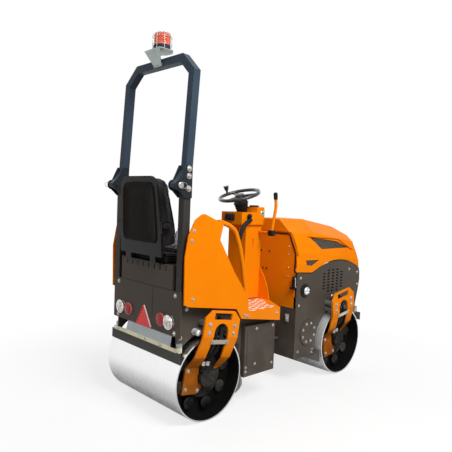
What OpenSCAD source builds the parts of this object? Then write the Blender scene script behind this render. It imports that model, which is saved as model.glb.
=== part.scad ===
// Ride-on tandem road roller, articulated in the middle, with a folding roll bar.
// +X is forward, +Y is the left side, +Z is up. The origin is on the ground under the steering pivot.

/* [Drums] */
// Diameter of each drum
drum_d = 560; // [540:5:580]
// Width of each drum
drum_w = 800; // [780:5:820]
// Thickness of the rolled drum shell
drum_wall = 16; // [10:1:22]
// Distance between the two drum axes
wheelbase = 1500; // [1480:5:1520]
// Depth of the drum's web behind its end
web_depth = 104; // [100:1:110]
// Thickness of the drum's web
web_t = 12; // [8:1:16]
// Radius of the bore in the web
hub_r = 40; // [34:1:46]
// Number of rubber buffers on each web
buffer_count = 8; // [6:1:9]
// Diameter of a rubber buffer
buffer_d = 80; // [70:1:86]

/* [Frames] */
// Distance from a drum's end in to the side plates of both frames
frame_inset = 55; // [50:1:60]
// Thickness of the side plates
plate_t = 10; // [6:1:14]
// Thickness of the plates across the frames
sheet_t = 8; // [5:1:10]
// Height of the bottom of both frames over the ground
belly_z = 208; // [200:1:230]
// Height of the operator's floor
floor_z = 680; // [670:1:690]
// Height of the deck that carries the seat
deck_z = 867; // [860:1:875]
// Rear face of the rear frame
rear_x = -1000; // [-1005:1:-995]
// Rear face of the front frame
wall_x = 185; // [182:1:200]
// Clearance between a drum and the frame around it
drum_gap = 22; // [15:1:25]

/* [Drum yokes] */
// Distance from a drum's end to the outer face of its yoke
yoke_gap = 46; // [42:1:52]
// Thickness of a yoke's plate
yoke_t = 14; // [10:1:16]
// Lean of the yokes towards the middle of the machine, degrees
yoke_lean = 9; // [5:0.5:12]
// Height of a yoke's top over the drum's axis
yoke_top = 452; // [440:1:460]
// Half width of a yoke over its shoulders
yoke_half = 154; // [145:1:160]
// Depth of a yoke's foot behind the drum's end
foot_depth = 54; // [50:1:58]
// Outer diameter of a motor hose
hose_d = 26; // [20:1:30]

/* [Roll bar] */
// Size of the square tube
tube = 52; // [46:1:56]
// Distance from a side plate out to the middle of a post
post_inset = 13; // [9:1:17]
// Height of the fold in the roll bar
fold_z = 1494; // [1480:1:1510]
// Top of the roll bar
hoop_z = 2354; // [2300:1:2400]
// Forward lean of the hoop, degrees
hoop_lean = 3.5; // [0:0.5:5]

/* [Operator's place] */
// Gap between a post and the shield beside it
shield_gap = 28; // [24:1:32]
// Thickness of the shields
shield_t = 8; // [5:1:10]
// Radius of the handrails
rail_r = 16; // [12:1:18]
// Height of the louvred box under the seat
base_h = 159; // [140:1:180]
// Half width of the seat
seat_half = 238; // [220:1:245]
// Rear face of the seat's back at its foot
seat_x = -1046; // [-1050:1:-1030]
// Lean of the seat's back, degrees
seat_lean = 4; // [2:0.5:6]
// Half width of the steering column
column_half = 95; // [80:1:105]
// Half width of the box on the steering column
dash_half = 113; // [105:1:120]
// Radius of the steering wheel over its rim
wheel_r = 168; // [160:1:180]
// Tilt of the steering wheel towards the operator, degrees
wheel_tilt = 18; // [10:1:25]

/* [Hood] */
// Wall of the hood
hood_t = 5; // [4:1:7]
// Gap between the hood and the panels that it closes on
hood_gap = 7; // [6:1:9]
// Depth of the recess round the hood's vents
vent_depth = 12; // [8:1:16]
// Front face of the hood
nose_x = 1070; // [1060:1:1075]

/* [Hidden] */
$fn = 48;

ORANGE = "darkorange";
GREY = "dimgray";
BLACK = [0.12, 0.12, 0.13];
STEEL = "silver";

drum_r = drum_d / 2;
drum_end = drum_w / 2;
frame_half = drum_end - frame_inset;
post_y = frame_half + post_inset;
axle_x = wheelbase / 2;
arch_r = drum_r + drum_gap;
yoke_out = drum_end + yoke_gap;
yoke_in = yoke_out - yoke_t;
foot_out = drum_end - foot_depth;
foot_in = foot_out - yoke_t;
plate_in = frame_half - plate_t;
post_out = post_y + tube / 2;
shield_y = post_out + shield_gap;

// Draws its children on both sides of the machine
module both_sides() {
  children();
  mirror([0, 1, 0]) children();
}

// Turns a shape drawn in X and Z into a plate from y0 to y1
module side_plate(y0, y1) {
  translate([0, y1, 0]) rotate([90, 0, 0]) linear_extrude(y1 - y0) children();
}

// Turns a shape drawn in Y and Z into a plate from x0 to x1
module cross_plate(x0, x1) {
  translate([x0, 0, 0]) rotate([90, 0, 90]) linear_extrude(x1 - x0) children();
}

// A box between two corners
module box(a, b) {
  translate(a) cube(b - a);
}

// A cylinder lying along Y from y0 to y1
module cyl_y(x, z, r, y0, y1) {
  translate([x, y1, z]) rotate([90, 0, 0]) cylinder(r = r, h = y1 - y0);
}

// A cylinder lying along X from x0 to x1
module cyl_x(y, z, r, x0, x1) {
  translate([x0, y, z]) rotate([0, 90, 0]) cylinder(r = r, h = x1 - x0);
}

function unit(v) = v / norm(v);

// Points on a round corner about c, from angle a0 to a1
function arc(c, r, a0, a1, n = 6) =
  [for (i = [0 : n]) let(a = a0 + (a1 - a0) * i / n) c + r * [cos(a), sin(a)]];

// Outline with its mirror image across the first axis, for a shape that starts and ends on it
function mirrored(p) = concat(p, [for (i = [len(p) - 1 : -1 : 0]) [-p[i].x, p[i].y]]);

// Point on a smooth curve through four points, at t from 0 to 1 between the middle two
function curve_point(a, b, c, d, t) =
  0.5 * (2 * b + (c - a) * t + (2 * a - 5 * b + 4 * c - d) * t * t
    + (3 * b - a - 3 * c + d) * t * t * t);

// Smooth path through a list of points, with a number of steps between each two
function smooth(p, steps) = [for (i = [0 : len(p) - 2], k = [0 : steps - 1])
  curve_point(p[max(i - 1, 0)], p[i], p[i + 1], p[min(i + 2, len(p) - 1)], k / steps),
  p[len(p) - 1]];

// Round tube swept along a path that never runs along the direction side
module swept_tube(path, r, side = [0, 1, 0], sides = 12) {
  n = len(path);
  rings = [for (i = [0 : n - 1])
    let(t = unit(path[min(i + 1, n - 1)] - path[max(i - 1, 0)]),
      u = unit(side - t * (side * t)), v = cross(t, u))
    for (k = [0 : sides - 1]) let(a = 360 * k / sides) path[i] + r * (cos(a) * u + sin(a) * v)];
  walls = [for (i = [0 : n - 2], k = [0 : sides - 1]) let(m = (k + 1) % sides)
    [i * sides + k, (i + 1) * sides + k, (i + 1) * sides + m, i * sides + m]];
  foot = [for (k = [0 : sides - 1]) k];
  head = [for (k = [sides - 1 : -1 : 0]) (n - 1) * sides + k];
  polyhedron(rings, concat(walls, [foot, head]));
}

// Rear frame

seat_deck_x = -560;
foot_wall_x = -440;
floor_front_x = -110;
floor_t = 8;
tail_z = 450;
rear_wall_z = 580;
rear_wall_side = 45;

module rear_side_outline() {
  difference() {
    polygon([[rear_x + sheet_t, tail_z], [rear_x + sheet_t, deck_z - sheet_t],
      [seat_deck_x, deck_z - sheet_t], [foot_wall_x, floor_z - floor_t],
      [floor_front_x, floor_z - floor_t], [floor_front_x, belly_z], [foot_wall_x, belly_z],
      [foot_wall_x, tail_z]]);
    translate([-axle_x, drum_r]) circle(r = arch_r, $fn = 96);
  }
}

module rear_sides() {
  color(GREY) both_sides() side_plate(plate_in, frame_half) rear_side_outline();
}

steer_a = [-260, -150, 380];
steer_b = [100, -150, 380];
steer_window = [80, 60];
deck_hole = [280, 500];

// Plates across the rear frame: rear wall, deck, riser, and the box with the steering cylinder
module rear_chassis() {
  wall_half = frame_half + rear_wall_side;
  low = floor_z - floor_t;
  color(GREY) {
    box([rear_x, -wall_half, rear_wall_z], [rear_x + sheet_t, wall_half, deck_z]);
    difference() {
      box([rear_x + sheet_t, -post_out, deck_z - sheet_t], [seat_deck_x, post_out, deck_z]);
      translate([(rear_x + seat_deck_x) / 2, 0, deck_z])
        cube([deck_hole.x, deck_hole.y, 4 * sheet_t], center = true);
    }
    side_plate(-plate_in, plate_in) polygon([[seat_deck_x - sheet_t, deck_z], [seat_deck_x, deck_z],
      [foot_wall_x, low], [foot_wall_x - sheet_t, low]]);
    box([foot_wall_x - sheet_t, -plate_in, belly_z], [foot_wall_x, plate_in, low]);
    box([foot_wall_x - sheet_t, -plate_in, belly_z], [floor_front_x, plate_in, belly_z + sheet_t]);
    difference() {
      box([floor_front_x - sheet_t, -plate_in, belly_z], [floor_front_x, plate_in, low]);
      translate([floor_front_x, steer_a.y, steer_a.z])
        cube([4 * sheet_t, 2 * steer_window.x, 2 * steer_window.y], center = true);
    }
  }
}

foot_box_w = 40;

// Bolted boxes on both sides under the step
module foot_boxes() {
  color(GREY) both_sides() box([-418, frame_half, belly_z], [-102, frame_half + foot_box_w, 566]);
}

step_front_x = -94;
step_out = shield_y + shield_t;

// Floor between the two steps, rounded at the front to clear the front frame
module floor_step() {
  front = [[44, 112], [19, 213], [-84, step_out - 28], [step_front_x, step_out]];
  color(ORANGE) {
    translate([0, 0, floor_z - floor_t]) linear_extrude(floor_t)
      polygon(concat([[foot_wall_x, -step_out]], [for (i = [3 : -1 : 0]) [front[i].x, -front[i].y]],
        front, [[foot_wall_x, step_out]]));
    both_sides() side_plate(shield_y, step_out)
      polygon([[-472, 640], [step_front_x, 580], [step_front_x, floor_z - floor_t],
        [foot_wall_x, floor_z - floor_t]]);
  }
}

shield_outline = concat([[rear_x, 797], [-1006, 1087], [-982, 1223], [-932, 1319]],
  arc([-862, 1310], 45, 120, 60, 4), [[-694, 1292], [-720, 1190], [-579, 970], [-459, 814],
  [foot_wall_x, floor_z], [foot_wall_x, floor_z - floor_t], [-472.5, 640], [-497, 645],
  [-545, 717], [-960, 780]]);
shield_bracket = [14, 14];

module side_shields() {
  color(ORANGE) both_sides() {
    side_plate(shield_y, step_out) polygon(shield_outline);
    for (z = [1180, deck_z - sheet_t])
      box([-950, post_out, z], [-950 + shield_bracket.x, shield_y, z + shield_bracket.y]);
  }
}

rail_y = shield_y - rail_r - 0.3;
rail_foot_x = -428;
rail_path = [[-712, 1305], [-640, 1286], [-578, 1252], [-541, 1195], [-493, 1058], [-450, 850],
  [-430, 730], [rail_foot_x, floor_z + 4]];

// Bent tubes from the shields down to the floor, with a clip at the top and a foot plate
module handrails() {
  color(ORANGE) both_sides() {
    swept_tube(smooth([for (p = rail_path) [p.x, rail_y, p.y]], 3), rail_r);
    box([-730, rail_y - 10, 1294], [-690, shield_y, 1316]);
    translate([rail_foot_x, rail_y, floor_z]) cylinder(r = rail_r + 0.2, h = 6);
  }
}

base_z = deck_z + base_h;
base_half = post_y - tube / 2 - 32;
base_front_x = -600;
base_wall = 6;
slot_pitch = 64;

// Louvred box under the seat
module seat_base() {
  color(GREY) difference() {
    box([rear_x, -base_half, deck_z], [base_front_x, base_half, base_z]);
    box([rear_x + base_wall, base_wall - base_half, deck_z - 1],
      [base_front_x - base_wall, base_half - base_wall, base_z - base_wall]);
    for (i = [-3.5 : 1 : 3.5])
      translate([rear_x, i * slot_pitch, base_z - 26]) cube([4 * base_wall, 10, 36], center = true);
  }
}

pan_t = 8;
seat_z = base_z + pan_t;
shell_t = 14;

module seat_frame() {
  translate([seat_x, 0, seat_z]) rotate([0, -seat_lean, 0]) children();
}

seat_back_outline = mirrored(concat([[seat_half, 36], [seat_half, 200]],
  arc([seat_half - 106, 472], 78, 8, 90)));

// Moulded shell of the seat, with its hinges and the pan that it stands on
module seat_shell() {
  color(BLACK) {
    seat_frame() {
      cross_plate(0, shell_t) polygon(seat_back_outline);
      cross_plate(0, shell_t) for (s = [-1, 1]) translate([s * 140 - 30, -2]) square([60, 40]);
      both_sides() {
        box([0, seat_half, 190], [62, seat_half + 12, 262]);
        cyl_y(22, 236, 17, seat_half + 12, seat_half + 34);
      }
    }
    box([seat_x, -210, base_z], [base_front_x - 20, 210, seat_z]);
  }
}

cushion_foot = shell_t + 0.5;

module seat_back() {
  color(BLACK) seat_frame() intersection() {
    cross_plate(cushion_foot, 200) polygon(seat_back_outline);
    side_plate(-300, 300) polygon(concat([[cushion_foot, 96], [130, 96], [144, 190], [124, 366]],
      arc([52, 500], 50, 10, 90), [[cushion_foot, 550]]));
  }
}

module seat_cushion() {
  color(BLACK) side_plate(-seat_half + 10, seat_half - 10)
    polygon([[-880, seat_z], [-560, seat_z], [-522, seat_z + 30], [-515, seat_z + 84],
      [-545, seat_z + 108], [-890, seat_z + 86], [-898, seat_z + 46]]);
}

post_x = rear_x + tube / 2;
fork = tube / 2 + 3;
fork_z = 1450;
fold_x = -1043;
fold_pin_z = 1526;
fold_pin_r = 12;
ear_t = 8;

module ear_outline() {
  polygon([[rear_x, fork_z], [rear_x + tube, fork_z], [rear_x + tube, 1650], [rear_x, 1650],
    [fold_x, fold_pin_z + 34], [fold_x - 33, fold_pin_z - 8]]);
  translate([fold_x, fold_pin_z]) circle(r = 34);
}

// Fixed posts with the fork plates of the fold and their pins
module roll_posts() {
  color(GREY) both_sides() {
    box([rear_x, post_y - tube / 2, deck_z], [rear_x + tube, post_out, fold_z]);
    box([rear_x, post_y - fork, fork_z], [rear_x + tube, post_y + fork, fold_z]);
    side_plate(post_y + fork, post_y + fork + ear_t) ear_outline();
    side_plate(post_y - fork - ear_t, post_y - fork) ear_outline();
    cyl_y(fold_x, fold_pin_z, fold_pin_r, post_y - fork - ear_t - 6, post_y + fork + ear_t + 6);
  }
}

column_front = 10;
dash_z = 1262;

// Steering column with its flared front plate and the slot of the throttle's rod
module steering_column() {
  flare = [[118, floor_z], [93, 778], [60, 852], [0, 930]];
  color(ORANGE) {
    difference() {
      box([-155, -column_half, floor_z], [column_front, column_half, dash_z]);
      box([-78, -column_half - 1, 1080], [-66, 8 - column_half, 1150]);
    }
    cross_plate(column_front, column_front + 8) polygon(mirrored(concat(
      [for (p = flare) [column_half + p.x, p.y]], [[column_half, dash_z]])));
  }
}

dash_front = 58;
dash_clip = dash_front - 38;
dash_step_x = -62;
dash_low = 1357;
dash_top = 1400;
dash_rear = -222;

// Box on the column: low under the wheel, high in front, with two clipped corners
module dash_box() {
  color(ORANGE) difference() {
    side_plate(-dash_half, dash_half)
      polygon([[dash_rear, dash_z], [20, dash_z], [dash_front, 1300], [dash_front, 1372],
        [30, dash_top], [-50, dash_top], [dash_step_x, dash_low], [dash_rear, dash_low]]);
    translate([dash_clip, -dash_half, dash_z]) rotate([0, 0, 35]) box([-60, -80, -1], [60, 0, 200]);
    translate([dash_clip, dash_half, dash_z]) rotate([0, 0, -35]) box([-60, 0, -1], [60, 80, 200]);
  }
}

wheel_c = [-145, 0, 1487];

module wheel_frame() {
  translate(wheel_c) rotate([0, -wheel_tilt, 0]) children();
}

shaft_r = 14;
shaft_foot = 92;

handle_path = [[-266, 1136], [-248, 1200], [-216, 1256], [-170, 1290], [-146, 1300]];

// Switches, gauge, throttle handle and the boot of the steering shaft
module dash_controls() {
  handle_y = -dash_half - 20;
  color(BLACK) {
    for (y = [-20, 15, 50]) box([dash_rear - 10, y - 12, 1295], [dash_rear, y + 12, 1340]);
    translate([-6, -30, dash_top]) cylinder(r = 36, h = 8);
    difference() {
      wheel_frame() difference() {
        union() {
          translate([0, 0, -160]) cylinder(r1 = 24, r2 = 50, h = 60);
          translate([0, 0, -100]) cylinder(r = 50, h = 48);
        }
        translate([0, 0, -shaft_foot - 0.4]) cylinder(r = shaft_r + 0.4, h = 100);
      }
      box([dash_rear, -100, dash_z - 60], [dash_step_x, 100, dash_low]);
      box([dash_step_x - 0.01, -100, dash_z - 60], [100, 100, dash_top]);
    }
    swept_tube(smooth([for (p = handle_path) [p.x, handle_y, p.y]], 2), 17);
    cyl_y(-146, 1300, 15, handle_y - 4, -dash_half);
    translate([-156, handle_y, 1331]) sphere(r = 18);
    translate([-154, handle_y, 1300]) cylinder(r = 6, h = 20);
  }
}

lever_path = [[-4, -225, 1208], [10, -225, 1290], [28, -225, 1370], [34, -225, 1420], [24, -225, 1500]];

// Travel lever on its shaft out of the column
module travel_lever() {
  color(ORANGE) {
    cyl_y(-6, 1205, 13, -240, -column_half);
    box([-26, -244, 1185], [14, -206, 1225]);
    swept_tube(smooth(lever_path, 3), 12);
  }
}

strip_t = 6;
strip_z = [488, 513];
flap_z = 420;
scraper_half = frame_half + 21;

// Scraper strips behind and in front of the rear drum, with a sloped guard over the rear one
module rear_scraper() {
  inner_x = foot_wall_x - sheet_t - 10;
  color(STEEL) {
    box([rear_x - 4 - strip_t, -scraper_half, strip_z[0]], [rear_x - 4, scraper_half, strip_z[1]]);
    side_plate(-300, 209) polygon([[rear_x - 8, strip_z[1]], [rear_x - 4, strip_z[1]],
      [rear_x + 12, rear_wall_z - 3], [rear_x + sheet_t, rear_wall_z], [rear_x + 5, rear_wall_z]]);
    both_sides() {
      box([rear_x - 4, frame_half + 1, strip_z[0]], [rear_x + 38, scraper_half, strip_z[1]]);
      box([rear_x + sheet_t, frame_half, 480], [rear_x + 38, scraper_half, 540]);
    }
    box([inner_x - strip_t, 5 - drum_end, belly_z - 60], [inner_x, drum_end - 5, belly_z + 36]);
    both_sides() box([inner_x, 280, belly_z + 10], [foot_wall_x - sheet_t, 310, belly_z + 30]);
  }
}

module rear_flap() {
  color(BLACK) box([rear_x - 4, -drum_end, flap_z], [rear_x + 1, drum_end, strip_z[0]]);
}

lamp_z = 666;
work_lamp_y = frame_half - 62;
tail_lamp_y = frame_half - 155;

module work_lamps() {
  color("white") both_sides() cyl_x(work_lamp_y, lamp_z, 44, rear_x - 18, rear_x);
}

module tail_lamps() {
  color("red") both_sides() cyl_x(tail_lamp_y, lamp_z - 2, 40, rear_x - 12, rear_x);
}

module rear_reflector() {
  color("red") cross_plate(rear_x - 6, rear_x) polygon([[-88, 588], [88, 588], [0, 728]]);
}

// Drum yokes: drawn upright over the drum's axis, leaning by the sign of s

yoke_knee = 280;
yoke_step = 40;
yoke_bend = 140;
foot_top = 60;
foot_low = -112;
arch_half = 61;
arch_z = 309;
window_half = 78;
window_z = [393, 436];
motor_r = 58;
knee_turn = atan(yoke_step / (yoke_knee - yoke_bend));

// Side view: two legs round an arch, the one to the rear running down to the foot
module yoke_outline() {
  difference() {
    polygon([[-99, yoke_top], [-yoke_half, 400], [-yoke_half, 230], [-172, foot_top],
      [-172, foot_low], [-50, foot_low], [-14, -76], [-14, -40], [-62, foot_top],
      [-70, yoke_bend], [-arch_half, arch_z], [arch_half, arch_z], [70, yoke_bend], [76, 44],
      [134, 62], [150, yoke_bend], [yoke_half, 230], [yoke_half, 400], [99, yoke_top]]);
    translate([0, arch_z]) circle(r = arch_half);
    translate([-window_half, window_z[0]]) square([2 * window_half, window_z[1] - window_z[0]]);
  }
}

// End view: the plate steps inwards from the yoke's face to its foot inside the drum
module yoke_profile() {
  polygon([[yoke_out, yoke_top], [yoke_out, yoke_knee], [yoke_out - yoke_step, yoke_bend],
    [foot_out, foot_top], [foot_out, foot_low], [foot_in, foot_low], [foot_in, foot_top - 6],
    [yoke_in - yoke_step, yoke_bend - 6], [yoke_in, yoke_knee - 3], [yoke_in, yoke_top]]);
}

module yoke() {
  difference() {
    intersection() {
      rotate([90, 0, 0]) linear_extrude(4 * yoke_out, center = true) yoke_outline();
      cross_plate(-2 * yoke_half, 2 * yoke_half) yoke_profile();
    }
    cyl_y(0, 0, motor_r + 0.5, 0, yoke_out);
  }
}

module at_axle(s) {
  both_sides() translate([s * axle_x, 0, drum_r]) rotate([0, -s * yoke_lean, 0]) children();
}

mount_spots = [[-108, 360], [-108, 308], [108, 360], [108, 308]];
mount_r = 20;

// Rubber mounts between the frame's side plate and the yoke
module mounts(s) {
  at_axle(s) for (m = mount_spots) cyl_y(m.x, m.y, mount_r, frame_half, yoke_in);
}

web_out = drum_end - web_depth;
web_in = web_out - web_t;
carrier_t = 14;
port = [70, 26, 40];
port_u = -24;
port_top = 78;

// Hydraulic motor with its carrier plate, drive and the port block of its hoses
module motors(s) {
  at_axle(s) {
    cyl_y(0, 0, motor_r, foot_in, foot_out + 36);
    cyl_y(0, 0, 140, foot_in - carrier_t, foot_in);
    cyl_y(0, 0, 75, web_out + 6, foot_in - carrier_t);
    cyl_y(0, 0, hub_r - 0.3, web_in, web_out + 6);
    box([port_u - port.x / 2, foot_out + 2, port_top - port.z],
      [port_u + port.x / 2, foot_out + 2 + port.y, port_top]);
  }
}

hose_side = 19;

// Two hoses from the frame through the yoke's arch to the motor, with the bar that holds them
module hoses(s) {
  at_axle(s) {
    for (h = [-hose_side, hose_side])
      swept_tube(smooth([[1.2 * h, frame_half, 392], [1.2 * h, frame_half + 12, 392],
        [1.2 * h, frame_half + 34, 392], [1.2 * h, yoke_in - 22, 330],
        [1.2 * h - 2, yoke_in - 10, 262], [h - 12, yoke_in - 34, 170],
        [h + port_u, foot_out + 15, port_top + 46], [h + port_u, foot_out + 15, port_top + 20],
        [h + port_u, foot_out + 15, port_top]], 2), hose_d / 2, [1, 0, 0], 10);
    translate([0, yoke_out, yoke_knee]) rotate([-knee_turn, 0, 0])
      box([-window_half, 0.01, -46], [window_half, 6, -16]);
  }
}

module rear_yokes() {
  color(ORANGE) at_axle(-1) yoke();
}

module rear_mounts() {
  color(BLACK) mounts(-1);
}

module rear_motors() {
  color(BLACK) motors(-1);
}

module rear_hoses() {
  color(BLACK) hoses(-1);
}

module drum(s) {
  translate([s * axle_x, 0, drum_r]) rotate([90, 0, 0]) rotate_extrude($fn = 96) {
    translate([drum_r - drum_wall, -drum_end]) square([drum_wall, drum_w]);
    for (y = [-web_out, web_in])
      translate([hub_r, y]) square([drum_r - drum_wall - hub_r + 1, web_t]);
  }
}

buffer_circle = 195;
buffer_t = 26;
buffer_turn = 12;

module buffers(s) {
  for (i = [0 : buffer_count - 1]) {
    a = i * 360 / buffer_count + buffer_turn;
    both_sides() cyl_y(s * axle_x + buffer_circle * cos(a), drum_r + buffer_circle * sin(a),
      buffer_d / 2, web_out, web_out + buffer_t);
  }
}

module rear_drum() {
  color(STEEL) drum(-1);
}

module rear_buffers() {
  color(BLACK) buffers(-1);
}

// Steering pivot between the two frames, and its cylinder

pin_r = 25;
fork_t = 25;
fork_low = 250;
fork_high = 480;
fork_r = 70;
bush_gap = 6;
eye_pin_r = 12;
rod_pin_r = 8;
rod_r = 12;

// Plate from the rear frame to the pivot, rounded about the pin
module fork_plate(z) {
  translate([0, 0, z]) linear_extrude(fork_t) {
    translate([floor_front_x, -fork_r]) square([-floor_front_x, 2 * fork_r]);
    circle(r = fork_r);
  }
}

module rear_pivot() {
  foot = steer_a - [30, 30, 28];
  color(GREY) {
    fork_plate(fork_low);
    fork_plate(fork_high);
    translate([0, 0, fork_low - 10]) cylinder(r = pin_r, h = fork_high - fork_low + fork_t + 20);
    box([foot.x, foot.y, belly_z + sheet_t], [foot.x + 60, foot.y + 60, foot.z]);
    translate([steer_a.x, steer_a.y, foot.z]) cylinder(r = eye_pin_r, h = 60);
  }
}

module front_pivot() {
  low = fork_low + fork_t + bush_gap;
  high = fork_high - bush_gap;
  shelf_z = steer_b.z - 26;
  color(GREY) {
    difference() {
      union() {
        translate([0, 0, low]) cylinder(r = fork_r - 10, h = high - low);
        box([0, -50, low + 19], [wall_x, 50, high - 19]);
      }
      translate([0, 0, low - 10]) cylinder(r = pin_r + 0.4, h = high - low + 20);
    }
    box([steer_b.x - 16, steer_b.y - 30, shelf_z - 14], [wall_x, steer_b.y + 30, shelf_z]);
    translate([steer_b.x, steer_b.y, shelf_z]) cylinder(r = rod_pin_r, h = 50);
  }
}

module steer_barrel() {
  color(BLACK) difference() {
    union() {
      translate([steer_a.x, steer_a.y, steer_a.z - 24]) cylinder(r = 28, h = 48);
      cyl_x(steer_a.y, steer_a.z, 24, steer_a.x, steer_a.x + 230);
    }
    translate([steer_a.x, steer_a.y, steer_a.z - 40]) cylinder(r = eye_pin_r + 0.4, h = 80);
    cyl_x(steer_a.y, steer_a.z, rod_r + 0.5, steer_a.x + 90, steer_a.x + 240);
  }
}

rod_eye_r = 24;

// Rod whose eye has room round its pin for the drift of the constant ratios
module steer_rod() {
  color(STEEL) difference() {
    union() {
      cyl_x(steer_b.y, steer_b.z, rod_r, steer_a.x + 190, steer_b.x - 26);
      translate([steer_b.x, steer_b.y, steer_b.z - 18]) cylinder(r = rod_eye_r + 8, h = 36);
    }
    translate([steer_b.x, steer_b.y, steer_b.z - 30]) cylinder(r = rod_eye_r, h = 60);
  }
}

// Folding hoop of the roll bar

hoop_foot = fold_z + 6;
hoop_in = post_y - tube / 2;
hoop_shoulder = hoop_z - 115;
hoop_top_half = 258;

module hoop_frame() {
  translate([post_x, 0, hoop_foot]) rotate([0, hoop_lean, 0]) translate([-post_x, 0, -hoop_foot])
    children();
}

module hoop_outline() {
  difference() {
    polygon(mirrored([[post_out, hoop_foot + 4], [post_out, hoop_shoulder], [hoop_top_half, hoop_z]]));
    polygon(mirrored([[hoop_in, hoop_foot], [hoop_in, hoop_shoulder - 0.45 * tube],
      [hoop_top_half - 0.4 * tube, hoop_z - tube]]));
  }
}

// Hoop with the tongues that fold between the fork plates
module roll_hoop() {
  color(GREY) difference() {
    union() {
      hoop_frame() cross_plate(rear_x, rear_x + tube) hoop_outline();
      both_sides() side_plate(hoop_in + 6, post_out - 6)
        polygon([[rear_x + 2, hoop_foot + 8], [rear_x + 2, 1620], [fold_x, fold_pin_z + 32],
          [fold_x - 30, fold_pin_z + 10], [fold_x - 30, fold_pin_z - 12], [fold_x, hoop_foot],
          [fold_x + 12, hoop_foot]]);
    }
    both_sides() cyl_y(fold_x, fold_pin_z, fold_pin_r + 0.4, hoop_in - 10, post_out + 10);
  }
}

beacon_x = -923;
beacon_z = 2414;
gusset = [84, 170];
shelf = [150, 5];
shelf_x = -1000;

// Bent plate on the hoop's rear face that flares out to a shelf
module beacon_bracket() {
  foot_z = hoop_z - 34;
  foot_x = post_x - tube / 2 + tan(hoop_lean) * (foot_z - hoop_foot) - 3;
  rise = beacon_z - foot_z;
  reach = foot_x - shelf_x;
  color(STEEL) {
    hoop_frame() cross_plate(rear_x - 4, rear_x)
      translate([-gusset.x / 2, hoop_z - tube + 4]) square([gusset.x, tube - 30]);
    translate([foot_x - 1, 0, foot_z - 1]) rotate([0, -atan(reach / rise), 0])
      cross_plate(-4, 0) polygon(mirrored([[gusset.x / 2, 0], [gusset.y / 2, norm([reach, rise])]]));
    translate([shelf_x - 4, 0, beacon_z - shelf.y]) linear_extrude(shelf.y)
      polygon([[0, -gusset.y / 2], [shelf.x - 40, -gusset.y / 2], [shelf.x, -30], [shelf.x, 30],
        [shelf.x - 40, gusset.y / 2], [0, gusset.y / 2]]);
  }
}

beacon_r = 52;
beacon_base_h = 34;

module beacon_base() {
  color(BLACK) translate([beacon_x, 0, beacon_z]) {
    cylinder(r = beacon_r + 4, h = 8);
    cylinder(r = beacon_r, h = beacon_base_h);
  }
}

// Ribbed lens with a low dome
module beacon_lens() {
  h = 62;
  r = beacon_r - 3;
  color("orange") translate([beacon_x, 0, beacon_z + beacon_base_h]) rotate_extrude()
    polygon(concat([[0, 0], [r, 0], [r, 16], [r - 2, 18], [r, 20], [r, 36], [r - 2, 38], [r, 40],
      [r, h - 6]], arc([r - 16, h - 6], 16, 10, 90, 5), [[0, h + 16]]));
}

rim_r = 13;

module steering_wheel() {
  color(BLACK) wheel_frame() {
    rotate_extrude($fn = 72) translate([wheel_r - rim_r, 0]) circle(r = rim_r, $fn = 24);
    translate([0, 0, -34]) cylinder(r = 34, h = 40);
    translate([0, 0, -shaft_foot]) cylinder(r = shaft_r, h = shaft_foot - 20);
    for (a = [60, 180, 300]) rotate([0, 0, a]) box([20, -16, -14], [wheel_r - rim_r, 16, -4]);
    translate([15, 152, 8]) {
      cylinder(r = 9, h = 30);
      translate([0, 0, 26]) cylinder(r1 = 14, r2 = 23, h = 34);
    }
  }
}

// Front frame

panel_path = [[wall_x, 894], [377, 880], [474, 917], [588, 952], [744, 965], [912, 943], [1066, 884]];
panel_top = concat([panel_path[0]], smooth([for (i = [1 : 6]) panel_path[i]], 3));
panel_front = [[1080, 840], [1084, 776], [1066, 680], [1033, 565], [1033, 430]];
grille = [527, 706];
grille_pitch = [63, 25];
grille_hole = [34, 13];

// Side panel over the drum, with the grille's pattern of slots
module front_side_outline() {
  difference() {
    polygon(concat([[wall_x, belly_z]], panel_top, panel_front, [[470, belly_z]]));
    translate([axle_x, drum_r]) circle(r = arch_r, $fn = 96);
    for (c = [0 : 4], r = [0 : 7])
      if (abs(c - 2) + abs(r - 3.5) < 5)
        translate([grille.x + c * grille_pitch.x, grille.y + r * grille_pitch.y]) square(grille_hole);
  }
}

module front_sides() {
  color(GREY) both_sides() side_plate(plate_in, frame_half) front_side_outline();
}

bay_x = 400;
bay_z = 600;
nose_plate_x = 1025;

// Plates across the front frame: lower wall, belly, engine floor and nose plate
module front_chassis() {
  color(GREY) {
    box([wall_x, -plate_in, belly_z], [wall_x + sheet_t, plate_in, bay_z + 10]);
    box([wall_x, -plate_in, belly_z], [bay_x, plate_in, belly_z + sheet_t]);
    box([bay_x, -plate_in, belly_z], [bay_x + sheet_t, plate_in, bay_z]);
    box([bay_x, -plate_in, bay_z], [nose_plate_x, plate_in, bay_z + sheet_t]);
    box([nose_plate_x, -plate_in, bay_z], [nose_plate_x + sheet_t, plate_in, 860]);
  }
}

wall_top = 1190;
seal_t = 7;

// Outline of the wall behind the engine, grown by a margin
function wall_outline(m, low) = mirrored([[frame_half - 31 + m, low],
  [frame_half - 31 + m, 1045 + 0.4 * m], [frame_half - 97 + 0.6 * m, wall_top + m]]);

module front_wall() {
  color(ORANGE) cross_plate(wall_x, wall_x + 6) polygon(wall_outline(0, bay_z + 10));
}

// Rubber profile round the wall's edge
module wall_seal() {
  color(BLACK) cross_plate(wall_x - 4, wall_x + 8) difference() {
    polygon(wall_outline(seal_t, 700));
    polygon(wall_outline(0, 690));
  }
}

module front_yokes() {
  color(ORANGE) at_axle(1) yoke();
}

module front_mounts() {
  color(BLACK) mounts(1);
}

module front_motors() {
  color(BLACK) motors(1);
}

module front_hoses() {
  color(BLACK) hoses(1);
}

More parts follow.
